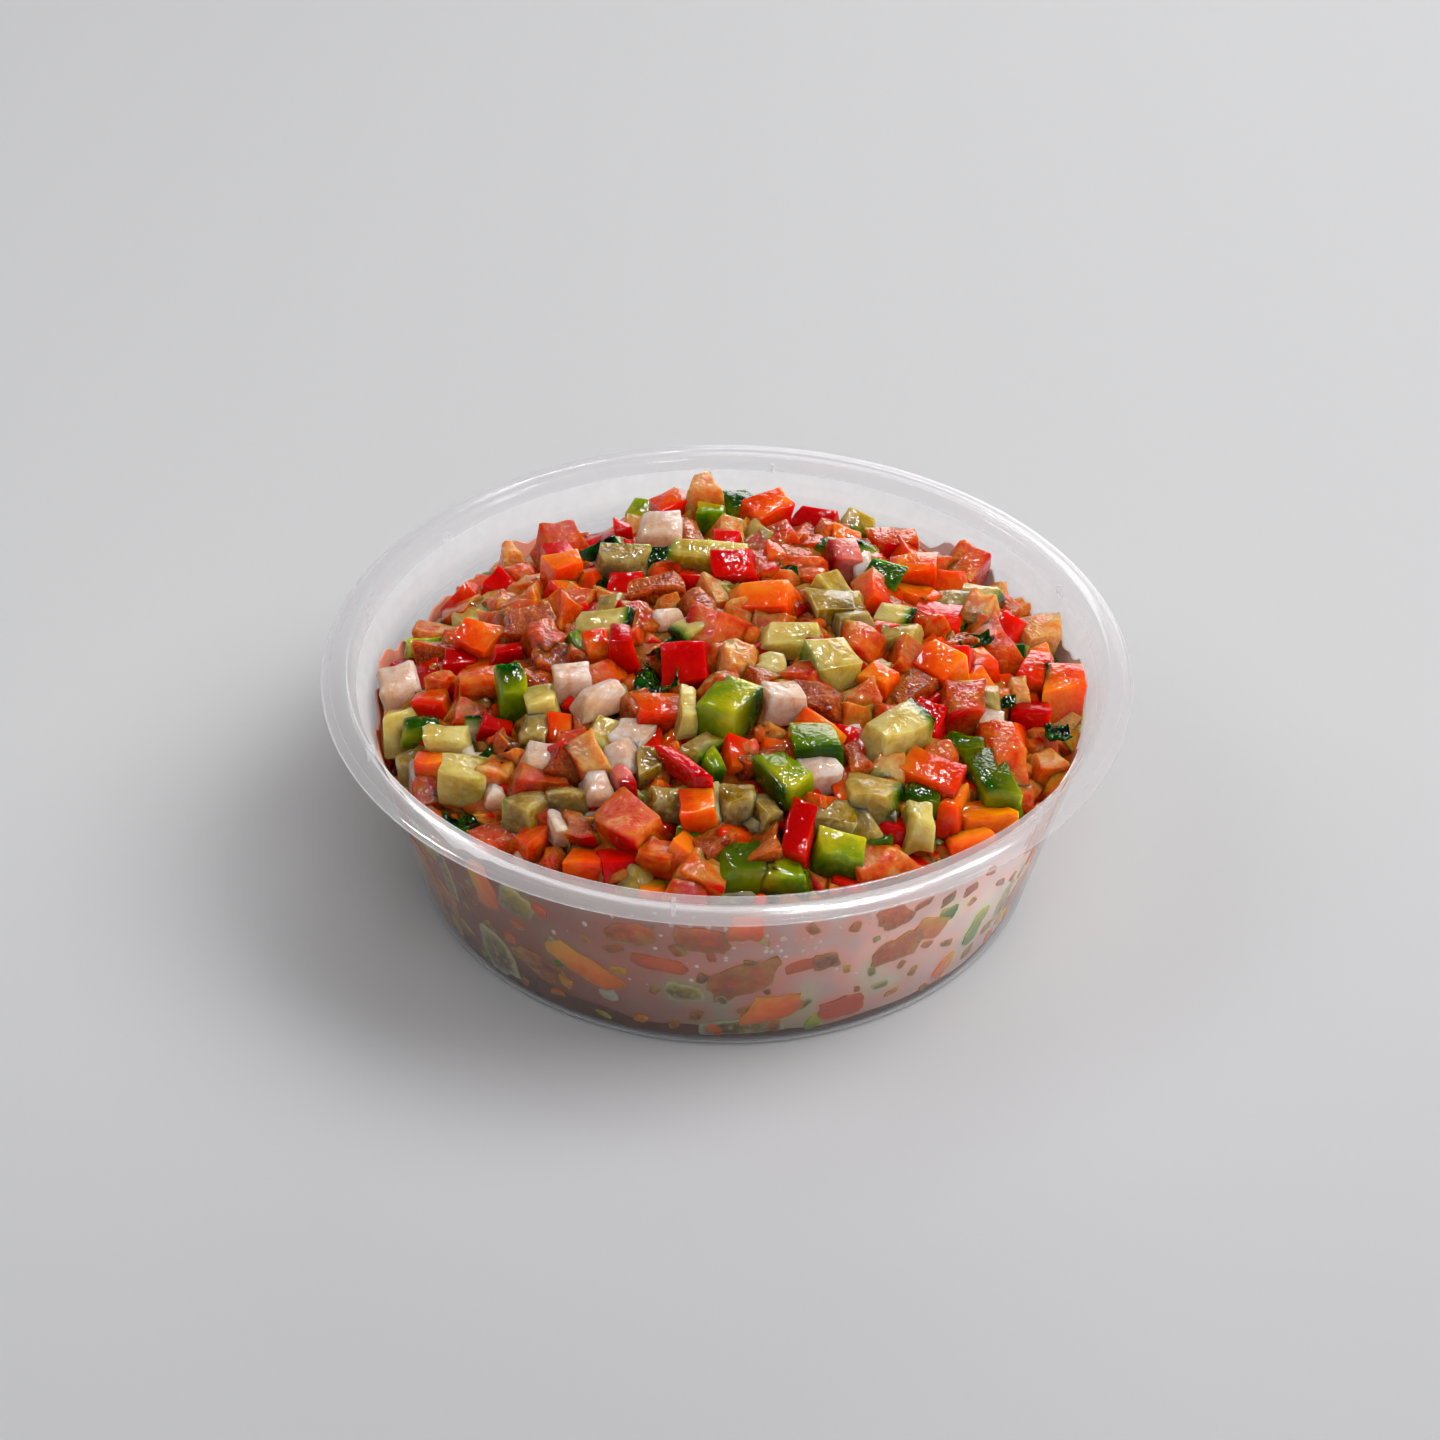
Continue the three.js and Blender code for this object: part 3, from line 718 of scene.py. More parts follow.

# %% [markdown]
# ## The dice that stand out
# These are the dice that anyone would notice in the photo, placed on the dome. Each line
# is across and back in the tub, long, wide and high, the turn about the vertical, the tip about
# the long side, the lift above the dome, and the side that still has its skin: T top, F front,
# B back, L left, R right, or a dot for none. Sizes are in millimetres and turns in degrees.

# %% The dice that stand out, by kind and tone
SHOWN = {
    ("tomato", 0.1): [
        (-48, 8, 6, 4, 4, 60, 0, 1, "T"), (-28.5, 6.5, 7, 6, 5, 10, 20, 1, "."),
        (-3.5, 8, 6, 6, 5, 20, 0, 1, "."), (-13, -16, 5, 5, 4, 30, 0, 0.5, "."),
        (-19, -36.5, 6, 6, 5, 10, 0, 0.5, "F"), (-1.5, -41, 8, 4, 4, 40, 0, 0.5, "."),
        (4, -27.5, 6.5, 4, 4, 5, 0, 1, "."), (14, -16, 9, 6, 5, -15, 0, 0.5, "."),
        (18.5, -26, 4, 8, 4, 15, 0, 0.5, "."), (27, -9.5, 8, 5, 4, 50, 0, 1, "."),
        (-10, 12.5, 8, 5, 4, 10, 0, 1, "."), (34, 4, 8, 4, 4, 10, 0, 0.5, "."),
    ],
    ("tomato", 0.42): [
        (-42.5, 28, 8, 6, 5, 5, 0, 2.5, "L"), (-31, 27, 6, 5, 4, 20, 10, 1, "."),
        (-27, -27, 9.5, 5, 4, 5, 0, 1, "F"), (-32, -35, 8, 6, 5, 20, 0, 0.5, "."),
        (-27, -36.5, 7, 6, 5, -30, 0, 1, "."), (-22, -21.5, 8, 6, 5, 15, 20, 0.5, "."),
        (32.5, -13.5, 7.5, 7, 6, 10, 0, 1.5, "F"), (-26, 1.5, 7, 7, 5, 35, 0, 0.5, "."),
        (-36, -12, 6, 4, 4, -10, 0, 0.5, "."), (-13, 3.5, 8, 6, 5, 40, 10, 1, "."),
        (12, 29, 6, 4, 4, 0, 0, 0.5, "F"),
    ],
    ("tomato", 0.65): [
        (-25.5, 35, 7, 6, 6, 30, 0, 2, "."), (25.5, 34, 9, 6, 5, 10, 0, 2, "F"),
        (35, 29, 8, 8, 6, -25, 10, 2, "R"), (-13, -37.5, 9, 8, 5, -35, 15, 1.5, "F"),
        (22, -41, 11, 6, 4, 20, 0, 1, "."), (19, -2, 8, 7, 5, -20, 10, 1, "F"),
        (39, -19, 6, 10, 6, 15, 0, 1.5, "."), (12.5, 16.5, 7, 4, 4, 0, 0, 0.5, "."),
        (42, -25, 5, 5, 4, 0, 0, 1, "."), (-36, -5, 7, 6, 5, 10, 10, 1.5, "."),
        (-41, -2, 5, 3, 4, 45, 0, 1, "."), (-40.5, 11, 4, 4, 4, 10, 0, 1, "."),
    ],
    ("tomato", 0.95): [
        (-35, 35, 5, 5, 7.5, 25, 12, 4, "."), (1, -8, 6.5, 6, 6, 15, 0, 1.5, "."),
        (43.5, 27, 5, 5, 6, -20, 0, 2, "."), (37, 13, 7, 7, 6, -30, 15, 1.5, "."),
        (45, 12.5, 6.5, 7, 6, 10, 0, 1.5, "."), (46, -17.5, 6, 5, 5, 20, 0, 1, "."),
        (-4, 44, 6, 5.5, 6, 10, 0, 6, "."), (42, -5, 4, 4, 4, 15, 0, 1, "."),
    ],
    ("orange_pepper", 0.2): [
        (-25, 20, 6, 5.5, 7, 20, 0, 2, "F"), (-36.5, 6, 7, 6, 5, -25, 10, 1.5, "."),
        (-9, 42.5, 7, 5, 6, 35, 0, 4, "F"), (5, 38.5, 8.5, 6, 8, 40, 15, 3, "F"),
        (5, 7, 11, 6, 5, -8, 10, 2, "."), (28, 21, 8, 6, 5, 0, 0, 2, "L"),
        (21, -10, 6.5, 4, 4, -35, 0, 1.5, "."), (30.5, -5.5, 7, 6, 5, -45, 10, 2, "."),
        (49, -3, 6, 8, 9, 5, 0, 3.5, "B"), (31.5, -31.5, 4, 6.5, 5, -20, 0, 1.5, "."),
        (34, -35.5, 7, 5, 4, 25, 0, 1, "."), (-4, -36.5, 5, 5, 5, 10, 0, 1.5, "."),
    ],
    ("orange_pepper", 0.9): [
        (-42.5, -6, 6, 5, 4, -10, 0, 1, "F"), (-50, -7, 3.5, 7, 5, 20, 0, 1, "F"),
        (7, 21, 4, 5, 5, 10, 0, 1.5, "F"), (45, 0, 6, 7, 6, -15, 0, 2, "T"),
        (28, -27, 9, 7, 5, -25, 0, 1, "."), (17, -31, 4, 8, 4, 15, 0, 0.5, "."),
        (-9, -17, 8.5, 6, 4, 10, 0, 0.5, "."), (7, -26, 5, 5, 4, 0, 0, 0.5, "."),
        (-19, -3, 4, 5, 5, 10, 0, 1, "."), (-18.5, -41.5, 8, 5, 4, -10, 0, 0.5, "."),
    ],
    ("red_pepper", 0.5): [
        (-15, -5, 5, 5, 9, 5, 0, 1.5, "T"), (-16, 33.5, 3.5, 3, 6, 10, 0, 2, "F"),
        (-14.5, 29, 5, 3, 3, 0, 0, 1, "F"), (1.5, 16.5, 7, 6, 4, 5, 15, 2, "F"),
        (13, 40, 8, 5, 5, -20, 10, 2, "T"), (28, -17, 6, 6, 5, -20, 0, 1, "T"),
        (10, -39.5, 5, 9, 5, -10, 20, 2, "T"), (-6, -30, 2.6, 10, 3, 40, 0, 2.5, "L"),
        (43, -8, 6, 5, 4, 0, 0, 0.5, "T"), (-33, -15, 6, 3, 3, -10, 0, 0.5, "F"),
        (-32, 1, 6, 2.5, 2.5, 10, 0, 1, "F"), (-39, 3, 5, 4, 4, 0, 0, 0.5, "T"),
        (13, -2.5, 3.5, 2.5, 3, 20, 0, 1, "T"), (0, 28, 5, 4, 4, -10, 0, 1, "F"),
    ],
    ("green_pepper", 0.0): [
        (-13, 46, 6.5, 4.5, 4, -35, 30, 4, "."), (1, 42.5, 6, 5, 6, 30, 0, 3.5, "T"),
        (-2.5, 38.5, 5, 4, 5, 0, 0, 2.5, "."), (-45, 10.5, 7, 3, 4, 15, 0, 1.5, "."),
        (-30, -11, 5, 6, 7, 12, 0, 2, "T"), (-0.5, -19.5, 9, 8, 7, -30, 0, 2, "R"),
        (8, -31.5, 5, 9, 5, 35, 0, 2, "L"), (15, -41.5, 7.5, 5, 5, -10, 0, 1.5, "."),
        (8.5, -45, 8, 4, 4, 0, 0, 1.5, "."), (-21.5, -1, 2.5, 7, 3, 25, 0, 1, "L"),
        (-2, -28, 3, 6, 3, 20, 0, 1, "F"),
    ],
    ("green_pepper", 0.8): [
        (-36.5, 32.5, 5, 2.5, 3, 15, 0, 1.5, "F"), (-44, -11, 6, 3.5, 4, 10, 0, 1.5, "T"),
        (2.5, -43.5, 10, 6, 5, 5, 0, 0.5, "T"), (13, -25.5, 7, 6, 6, 10, 0, 1.5, "F"),
        (22, 17.5, 6, 6, 5, -20, 0, 1.5, "T"), (37, -25.5, 6, 10, 6, 15, 0, 2, "T"),
        (27, -30.5, 7, 4, 4, -15, 0, 1, "T"), (33, -19.5, 7, 3, 3, -5, 0, 1, "T"),
        (14.5, 28.5, 4, 3, 3, -10, 0, 1.5, "T"), (21, -39, 4, 1.5, 2, 10, 0, 2, "T"),
    ],
    ("yellow_pepper", 0.2): [(36, -31.5, 8, 5, 5, 20, 0, 1.5, ".")],
    ("cucumber", 0.1): [
        (-39, -16, 8, 4.5, 4, -5, 0, 1.5, "."), (23, -22, 9, 6.5, 6, 35, 0, 2, "R"),
        (26.5, -35.5, 5, 5, 7, 10, 0, 1.5, "."), (-26, -13.5, 5, 5, 4.5, 10, 0, 1.5, "."),
        (8.5, -1.5, 11, 5, 4, -5, 0, 1, "."), (-5.5, -19, 3, 7, 5, 0, 0, 1.5, "."),
        (-36, -24.5, 8, 7, 6, -15, 0, 1.5, "."), (-4.5, 1, 9, 4, 4, 35, 0, 1.5, "L"),
        (6.5, -8, 6, 4, 4, 0, 0, 0.5, "."), (-2, 20, 13, 5, 5, -4, 0, 2, "L"),
        (14, -8.5, 7.5, 8, 7, 20, 0, 2, "L"), (22.5, -34, 3, 4, 4, 0, 0, 1, "."),
    ],
    ("cucumber", 0.5): [
        (19, 41.5, 7, 6, 5, -15, 0, 2, "F"),
        (37.5, 18.5, 7, 5, 5, -20, 0, 1.5, "R"), (18, 9.5, 4, 4, 4, 0, 0, 1, "."),
        (25, 1.5, 7.5, 4, 4, -5, 0, 1, "."), (20.5, -33, 9, 6, 6, -10, 0, 1.5, "R"),
        (46.5, 17, 5, 3, 4, -30, 0, 1.5, "B"), (49.5, 5.5, 3, 3, 3, 10, 0, 1, "."),
    ],
    ("cucumber", 0.85): [
        (-16, 21.5, 8, 6, 6, -10, 0, 1.5, "B"), (-17, 7, 5, 6, 5, 0, 0, 0.5, "."),
        (-27, -18, 5, 5, 4, 0, 0, 0.5, "."), (-21, -31, 6, 4, 4, 0, 0, 0.5, "."),
        (-11, -27.5, 4, 5, 4, 10, 0, 0.5, "."), (-8, -34, 7, 5, 4, 0, 0, 0.5, "."),
        (14, -36.5, 7, 5, 5, 0, 0, 0.5, "."), (14.5, 6.5, 6, 6, 6, 10, 0, 1, "."),
        (37, -10, 4.5, 6, 5, 0, 0, 1, "."), (1.5, -35, 6, 5, 5, 10, 0, 1, "."),
        (5.5, -36.5, 4, 5, 5, 30, 0, 1, "."),
    ],
    ("onion", 0.5): [
        (-11, 31.5, 8.5, 7, 6, -5, 0, 2, "."), (-48, 1, 7.5, 6, 6, 10, 0, 2, "."),
        (-8.5, 3.5, 5.5, 3, 3, 15, 0, 1.5, "."), (-22, -10.5, 5.5, 5, 5.5, 15, 0, 2, "."),
        (-18, -14.5, 7, 4.5, 4, 30, 0, 1.5, "."), (-45, -19.5, 6, 8.5, 6, 15, 0, 1, "."),
        (-26, -23.5, 6, 5, 4, 0, 0, 0.5, "."), (7.5, -17, 5.5, 5, 5, 20, 0, 2, "."),
        (12, -30, 7, 5, 5, 20, 0, 1.5, "."), (-17.5, -30.5, 4, 6, 4, 20, 0, 1, "."),
        (37, -14, 5, 5, 5, 0, 0, 1, "."), (20, 21, 4, 5, 5, 10, 0, 1, "."),
        (-32, -28, 4, 3.5, 3.5, 0, 0, 1, "."), (-22.5, -36, 3, 5, 4, 20, 0, 1, "."),
    ],
    ("radish", 0.5): [
        (17, 22.5, 6, 5.5, 5, 10, 0, 2, "L"), (-14, -30.5, 3, 5, 3.5, 25, 0, 1.5, "F"),
    ],
    ("herbs", 0.5): [
        (-20.5, 26, 5, 4, 3, 20, 0, 1, "."), (-11, 22.5, 5, 5, 3, 0, 20, 1, "."),
        (-10, -10, 5, 8, 5, 0, 0, 0.5, "."), (-33, -20, 4, 6, 4, 0, 0, 0.5, "."),
        (-36, -31, 5, 4, 3, 0, 0, 0.5, "."), (36, 3.5, 4, 2, 2, 20, 0, 2.5, "."),
        (47, -13, 3, 2.5, 2, 10, 0, 4, "."), (-8, -4, 5, 4, 3, 40, 0, 1.5, "."),
        (38, -8, 5, 3, 2, 0, 0, 1.5, "."),
    ],
}
print(sum(len(rows) for rows in SHOWN.values()), "dice placed by eye")

# %% [markdown]
# ## How a die is made
# A kitchen knife never makes cubes, so a die starts as a cube whose corners have wandered. Its
# edges are bevelled, wide on soft tomato and onion and tight on crisp pepper. The faces are
# then cut finer and pushed about by smooth noise, so the lumps are in the mesh and not only in
# the finish.

# %% Make one die
SKIN_SIDES = {"T": (2, 1), "F": (1, -1), "B": (1, 1), "L": (0, -1), "R": (0, 1)}
NO_SKIN = 50.0
TOP_LIMIT = cad_high.z / MM - 0.1
CUTS = {  # how far corners wander, how wide edges are bevelled, how lumpy faces are
    "tomato": (0.19, 0.65, 0.5),
    "orange_pepper": (0.13, 0.45, 0.2),
    "red_pepper": (0.13, 0.4, 0.2),
    "green_pepper": (0.14, 0.45, 0.22),
    "yellow_pepper": (0.14, 0.5, 0.3),
    "cucumber": (0.15, 0.7, 0.34),
    "onion": (0.15, 0.9, 0.32),
    "radish": (0.1, 0.6, 0.2),
}
PUSH_APART = 37.3
NOISE_REACH = 99
OWN_NUMBERS = ("depth", "tone", "run", "wall")
heaps = {kind: bmesh.new() for kind in KINDS}
for bm in heaps.values():
    for layer in OWN_NUMBERS:
        bm.verts.layers.float.new(layer)
scratch = bpy.data.meshes.new("scratch")


def push(place):
    """A smooth push in some direction. Unlike noise_vector, it is the same in every run."""
    return Vector([noise.noise(place + Vector((0, 0, PUSH_APART * axis))) for axis in range(3)])


def anywhere():
    """A place in the noise for one piece, so that no two pieces get the same lumps."""
    return Vector([draw.uniform(-NOISE_REACH, NOISE_REACH) for _ in range(3)])


def raw_die(kind, size, fine):
    """A bmesh of one die of this size in mm, with its middle at the origin."""
    wander, edge, lumps = CUTS[kind]
    die = bmesh.new()
    bmesh.ops.create_cube(die, size=1)
    narrow, short = draw.uniform(1 - 2.4 * wander, 1), draw.uniform(1 - 1.2 * wander, 1)
    slide = draw.uniform(-wander, wander)
    for corner in die.verts:
        corner.co += Vector([draw.uniform(-wander, wander) for _ in range(3)])
        if corner.co.z > 0:
            corner.co.xy = corner.co.x * narrow + slide, corner.co.y * short
    bmesh.ops.scale(die, vec=size, verts=die.verts)
    edge = min(edge * draw.uniform(0.45, 1.25), min(size) * 0.3)
    bmesh.ops.bevel(die, geom=die.edges, offset=edge, segments=2 if fine else 1, profile=0.5,
                    affect="EDGES", material=-1)
    if fine:
        bmesh.ops.subdivide_edges(die, edges=die.edges, cuts=1, use_grid_fill=True)
        start = anywhere()
        bend = draw.uniform(-0.25, 0.4) * lumps * 4 / size[0]
        for corner in die.verts:
            corner.co.z -= bend * corner.co.x**2 / size[0]
            corner.co += push(corner.co * 0.4 + start) * lumps * 1.7
            corner.co += push(corner.co * 1.1 + start) * lumps * 0.8
    return die


def off_the_wall(die, gap=0.15):
    """Moves a die, in mm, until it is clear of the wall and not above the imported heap."""
    bmesh.ops.translate(die, vec=(0, 0, min(0, TOP_LIMIT - max(v.co.z for v in die.verts))),
                        verts=die.verts)
    over = max(v.co.xy.length + gap - inside_radius(v.co.z) for v in die.verts)
    if over > 0:
        middle = sum((v.co for v in die.verts), Vector()) / len(die.verts)
        inwards = -middle.xy.normalized() * over * 1.1
        bmesh.ops.translate(die, vec=inwards.to_3d(), verts=die.verts)


def mark(die, skin, tone, at_wall=0.0):
    """Writes a die's depth under its skin side, its tone, and a run from its foot to its top."""
    depth, shade, run, wall = (die.verts.layers.float.new(name) for name in OWN_NUMBERS)
    axis, way = SKIN_SIDES.get(skin, (0, 0))
    reach = max((v.co[axis] * way for v in die.verts), default=0)
    upward = Vector((draw.gauss(0, 0.8), draw.gauss(0, 0.8), 0.8))
    marks = [v.co.dot(upward) for v in die.verts]
    for corner, place in zip(die.verts, marks):
        corner[depth] = reach - corner.co[axis] * way if way else NO_SKIN
        corner[shade] = tone
        corner[run] = (place - min(marks)) / (max(marks) - min(marks))
        corner[wall] = at_wall


def put(heap, die):
    """Adds a finished die, in mm, to a heap's mesh, in metres."""
    bmesh.ops.scale(die, vec=(MM, MM, MM), verts=die.verts)
    die.to_mesh(scratch)
    die.free()
    heap.from_mesh(scratch)


def lay(kind, die, across, back, height, turn, tip, lean=0.0):
    """Turns a die, sets it in the heap and keeps it off the wall."""
    spin = Matrix.Rotation(math.radians(turn), 4, "Z") @ Matrix.Rotation(math.radians(tip), 4, "X")
    spin = spin @ Matrix.Rotation(math.radians(lean), 4, "Y")
    place = Matrix.Translation((across, back, height))
    bmesh.ops.transform(die, matrix=place @ spin, verts=die.verts)
    off_the_wall(die)
    put(heaps[kind], die)


# %% [markdown]
# Herbs are torn scraps of leaf. Each is a small grid, crumpled by noise, with a real thickness.

# %% Make one scrap of leaf
LEAF_THICK = 0.25
LEAF_GROWTH = 1.3


def raw_leaf(size):
    """A bmesh of one crumpled scrap, in mm."""
    leaf = bmesh.new()
    bmesh.ops.create_grid(leaf, x_segments=7, y_segments=6, size=0.5)
    start = anywhere()
    for corner in leaf.verts:
        pull = 1 - 0.45 * corner.co.y**2 - 0.5 * abs(corner.co.x)
        corner.co.y *= pull * 1.25
        corner.co.z = noise.noise(corner.co * 2.6 + start) * 0.7 + corner.co.x**2 * 0.8
    grown = (size[0] * LEAF_GROWTH, size[1] * LEAF_GROWTH, size[2])
    bmesh.ops.scale(leaf, vec=grown, verts=leaf.verts)
    bmesh.ops.solidify(leaf, geom=leaf.faces, thickness=LEAF_THICK)
    bmesh.ops.recalc_face_normals(leaf, faces=leaf.faces)
    return leaf


def raw_piece(kind, size, fine):
    """A bmesh of one die, or of one scrap where the kind is a leaf, in mm."""
    return raw_leaf(size) if kind == "herbs" else raw_die(kind, size, fine)


SHOWN_SCALE = 0.95
SHOWN_TONE, SHOWN_TIP = 0.08, 6  # how far a tone and a tip may stray
for (kind, tone), rows in SHOWN.items():
    for across, back, long, wide, high, turn, tip, lift, skin in rows:
        size = Vector((long, wide, high)) * SHOWN_SCALE
        piece = raw_piece(kind, size, True)
        mark(piece, skin, tone + draw.uniform(-SHOWN_TONE, SHOWN_TONE))
        jitter = draw.uniform(-SHOWN_TIP, SHOWN_TIP)
        lay(kind, piece, across, back, heap_height(across, back) + lift, turn, tip + jitter, jitter)
print("placed dice:", sum(len(bm.faces) for bm in heaps.values()), "faces")

# %% [markdown]
# ## The bed
# Under and between the dice that stand out lies a bed of others, in the mix of vegetables that
# the photo shows, about half of it tomato. It has two layers on jittered grids: plain dice lower
# down, and on them finely cut ones that leave the dice that stand out some room.

# %% The bed of dice
MIX = {"tomato": 0.53, "orange_pepper": 0.19, "red_pepper": 0.1, "green_pepper": 0.03,
       "cucumber": 0.1, "onion": 0.02, "herbs": 0.03}
BED_SIZE = (4.2, 7.6)
BED_TIP = 22
BED_MARGIN = 1.5
BED_UNEVEN = 0.8
BED_SKINS = "TFBLR...."  # a dot is a die with no skin, so these are the odds
ROW_GAP = 0.87  # rows of a six-sided grid, in steps
JITTER = 0.3  # and how far a place strays, in steps
BED = {  # step of the grid, depth below the dome, room round the dice that stand out
    "under": (4.4, 3.3, 0.0),
    "top": (4.7, 0.7, 3.3),
}


def any_kind():
    """A kind drawn by its share of the mix."""
    return draw.choices(list(MIX), weights=MIX.values())[0]


def scatter(step, reach):
    """Places on a jittered six-sided grid over the heap, in mm."""
    rows = int(reach / (step * ROW_GAP)) + 1
    for row in range(-rows, rows + 1):
        for column in range(-rows - 1, rows + 2):
            across = (column + 0.5 * (row % 2)) * step + draw.uniform(-JITTER, JITTER) * step
            back = row * step * ROW_GAP + draw.uniform(-JITTER, JITTER) * step
            if math.hypot(across, back) < reach:
                yield across, back


count = 0
shown_at = [row[:2] for rows in SHOWN.values() for row in rows]
for layer, (step, sink, room) in BED.items():
    for across, back in scatter(step, HEAP_RADIUS - BED_MARGIN):
        if any(math.hypot(across - x, back - y) < room for x, y in shown_at):
            continue
        kind = any_kind()
        size = [draw.uniform(*BED_SIZE) for _ in range(3)]
        piece = raw_piece(kind, size, layer == "top")
        mark(piece, draw.choice(BED_SKINS), draw.random() ** 0.8)
        height = heap_height(across, back) - sink + draw.uniform(-BED_UNEVEN, BED_UNEVEN)
        tip, lean = draw.gauss(0, BED_TIP), draw.gauss(0, BED_TIP)
        lay(kind, piece, across, back, height, draw.uniform(0, 90), tip, lean)
        count += 1
print(count, "dice in the bed")

# %% [markdown]
# ## Bits
# Chopping leaves crumbs of flesh, slivers of skin, lumps of gel and loose seeds. Each is dropped
# straight down on to whatever lies below it, found with a ray, so none hangs in the air, and
# they gather in the dips because a place that stands high gets none.

# %% Bits and seeds on top
BIT_STEP = 3.6
BIT_SIZE = (1.6, 3.6)
BIT_ROOM = 0.6
BIT_TIP = 20
BIT_MARGIN = 3
BIT_SKINS = "TFBLR."
SEED_STEP = 15
SEED_ROOM = 1
SEED_SIZE = (1.25, 0.75, 0.4)
SEED_TIP = 15
SEED_MARGIN = 4
GEL_SHARE = 0.35
GELS = ("tomato", "tomato", "tomato", "cucumber", "onion")
trees = [BVHTree.FromBMesh(bm) for bm in heaps.values() if len(bm.faces)]


def surface(across, back):
    """The height of the pile's top at this place, in mm."""
    start = Vector((across, back, 80)) * MM
    hits = [tree.ray_cast(start, Vector((0, 0, -1)))[0] for tree in trees]
    return max((hit.z / MM for hit in hits if hit), default=heap_height(across, back))


def raw_gel(size):
    """A bmesh of one lump of the gel that holds the seeds, in mm."""
    gel = bmesh.new()
    bmesh.ops.create_icosphere(gel, subdivisions=2, radius=0.6)
    start = anywhere()
    for corner in gel.verts:
        corner.co *= 1 + 1.1 * noise.noise(corner.co * 3.4 + start)
    bmesh.ops.scale(gel, vec=size, verts=gel.verts)
    return gel


bits = 0
for across, back in scatter(BIT_STEP, HEAP_RADIUS - BIT_MARGIN):
    size = [draw.uniform(*BIT_SIZE) for _ in range(3)]
    height = surface(across, back) + 0.1 * size[2]
    if height > heap_height(across, back) + BIT_ROOM:
        continue
    if draw.random() < GEL_SHARE:
        kind, piece = draw.choice(GELS), raw_gel(size)
    else:
        kind = any_kind()
        piece = raw_piece(kind, size, False)
    bits += 1
    mark(piece, draw.choice(BIT_SKINS), draw.random())
    lay(kind, piece, across, back, height, draw.uniform(0, 90), draw.gauss(0, BIT_TIP),
        draw.gauss(0, BIT_TIP))
for across, back in scatter(SEED_STEP, HEAP_RADIUS - SEED_MARGIN):
    if surface(across, back) > heap_height(across, back) + SEED_ROOM:
        continue
    seed = bmesh.new()
    bmesh.ops.create_uvsphere(seed, u_segments=8, v_segments=6, radius=1)
    bmesh.ops.scale(seed, vec=SEED_SIZE, verts=seed.verts)
    mark(seed, ".", draw.random())
    lay("seeds", seed, across, back, surface(across, back) + 0.2, draw.uniform(0, 180),
        draw.gauss(0, SEED_TIP))
print(bits, "bits; all dice:", sum(len(bm.faces) for bm in heaps.values()), "faces")

# %% [markdown]
# ## What shows through the wall
# Dice that press on the frosted wall show crisp and bright through it, and everything a little
# further in melts into a milky haze. So the dice at the wall are wrapped on to its cone and
# reach a hair into the plastic, each to a depth of its own, because where two faces lay at one
# depth the light in them would go out. The haze between them is a smooth layer just behind. The
# first dice below are those of the photo's front, and a seeded draw adds the rest.
# Their brightness through the wall is painted light, a lift in their colour.

# %% The dice against the wall
WALL_SHOWN = {  # azimuth, height, wide, tall, turn, tone
    "orange_pepper": [
        (-131.3, 22.5, 3.6, 8, 8, 0.4), (-140, 24.5, 4, 2.6, 0, 0.9),
        (-113.5, 13, 10, 4, -32, 0.5), (-86.5, 26.5, 3.6, 5, 0, 0.1),
        (-81.3, 7.6, 6.6, 4.6, 5, 0.3), (-54.5, 17.5, 5, 3.4, -25, 0.5),
        (-47.2, 5.2, 2.2, 4, -15, 0.3),
    ],
    "red_pepper": [(-100, 17.3, 6.6, 2.6, -6, 0.5), (-76.9, 17.1, 4, 2.3, 10, 0.6)],
    "tomato": [
        (-104.3, 23.2, 6, 3.8, 0, 0.55), (-93.4, 23.7, 6.4, 4.2, -5, 0.42),
        (-86.5, 14.4, 8.6, 5.4, 24, 0.3), (-73.1, 17.3, 3.6, 3, 0, 0.25),
        (-60.8, 15.7, 6.5, 4.5, 5, 0.45), (-62.7, 23.8, 4, 4.6, 15, 0.5),
        (-123, 9.1, 6.6, 4.2, -28, 0.1), (-136.9, 16.9, 2.4, 3, 0, 0.1),
    ],
    "green_pepper": [(-51, 19, 3, 2.4, -10, 0.3), (-41.2, 10.7, 2.6, 6, -8, 0.3)],
    "cucumber": [
        (-133, 5.4, 5, 8, 8, 1.0), (-96.2, 11.4, 4.4, 3.2, 0, 0.8),
        (-32.9, 10.6, 2.6, 6.5, -8, 0.6), (-124.4, 22.3, 4.6, 4.6, -10, 0.7),
        (-142.1, 16.9, 2, 8, 0, 0.8), (-86.8, 3, 10, 2.6, 6, 1.0),
    ],
    "radish": [(-68.9, 5.3, 5.6, 3.9, 4, 0.5)],
}
WALL_LOW, WALL_TOP = 1.6, 26
WALL_GROWTH = 1.2
WALL_SKEW = 0.35
WALL_TURN = 35
WALL_DICE, SMALL_DICE = 175, 90
WALL_TRIES, SMALL_TRIES = 1400, 1400
WALL_SIZE, SMALL_SIZE = (3, 7), (0.8, 2.4)
WALL_ROOM, SMALL_ROOM = 5.6, 3.8
FRONT = (-146, -30)  # azimuths where the larger dice are those of the photo
INTO_WALL = 0.12
DEPTH_STEP, DEPTH_STEPS = 0.025, 7
LARGE_DEEPER = 0.05
DIE_DEEP = 2.4
PATCH_CUTS = 7
WALL_RADIUS = 50
MM_PER_DEGREE = 0.85
pressed = []


def edge_place(azimuth):
    """Across and back at the heap's edge, in mm, for an azimuth in radians."""
    return WALL_RADIUS * math.cos(azimuth), WALL_RADIUS * math.sin(azimuth)


def wrap(die, azimuth, height):
    """Bends a die whose y points out of the tub on to the wall's cone."""
    height = max(height, WALL_LOW - min(v.co.z for v in die.verts))
    for corner in die.verts:
        side, out, up = corner.co
        radius = inside_radius(height + up) + out
        angle = math.radians(azimuth) - side / radius
        corner.co = Vector((radius * math.cos(angle), radius * math.sin(angle), height + up))


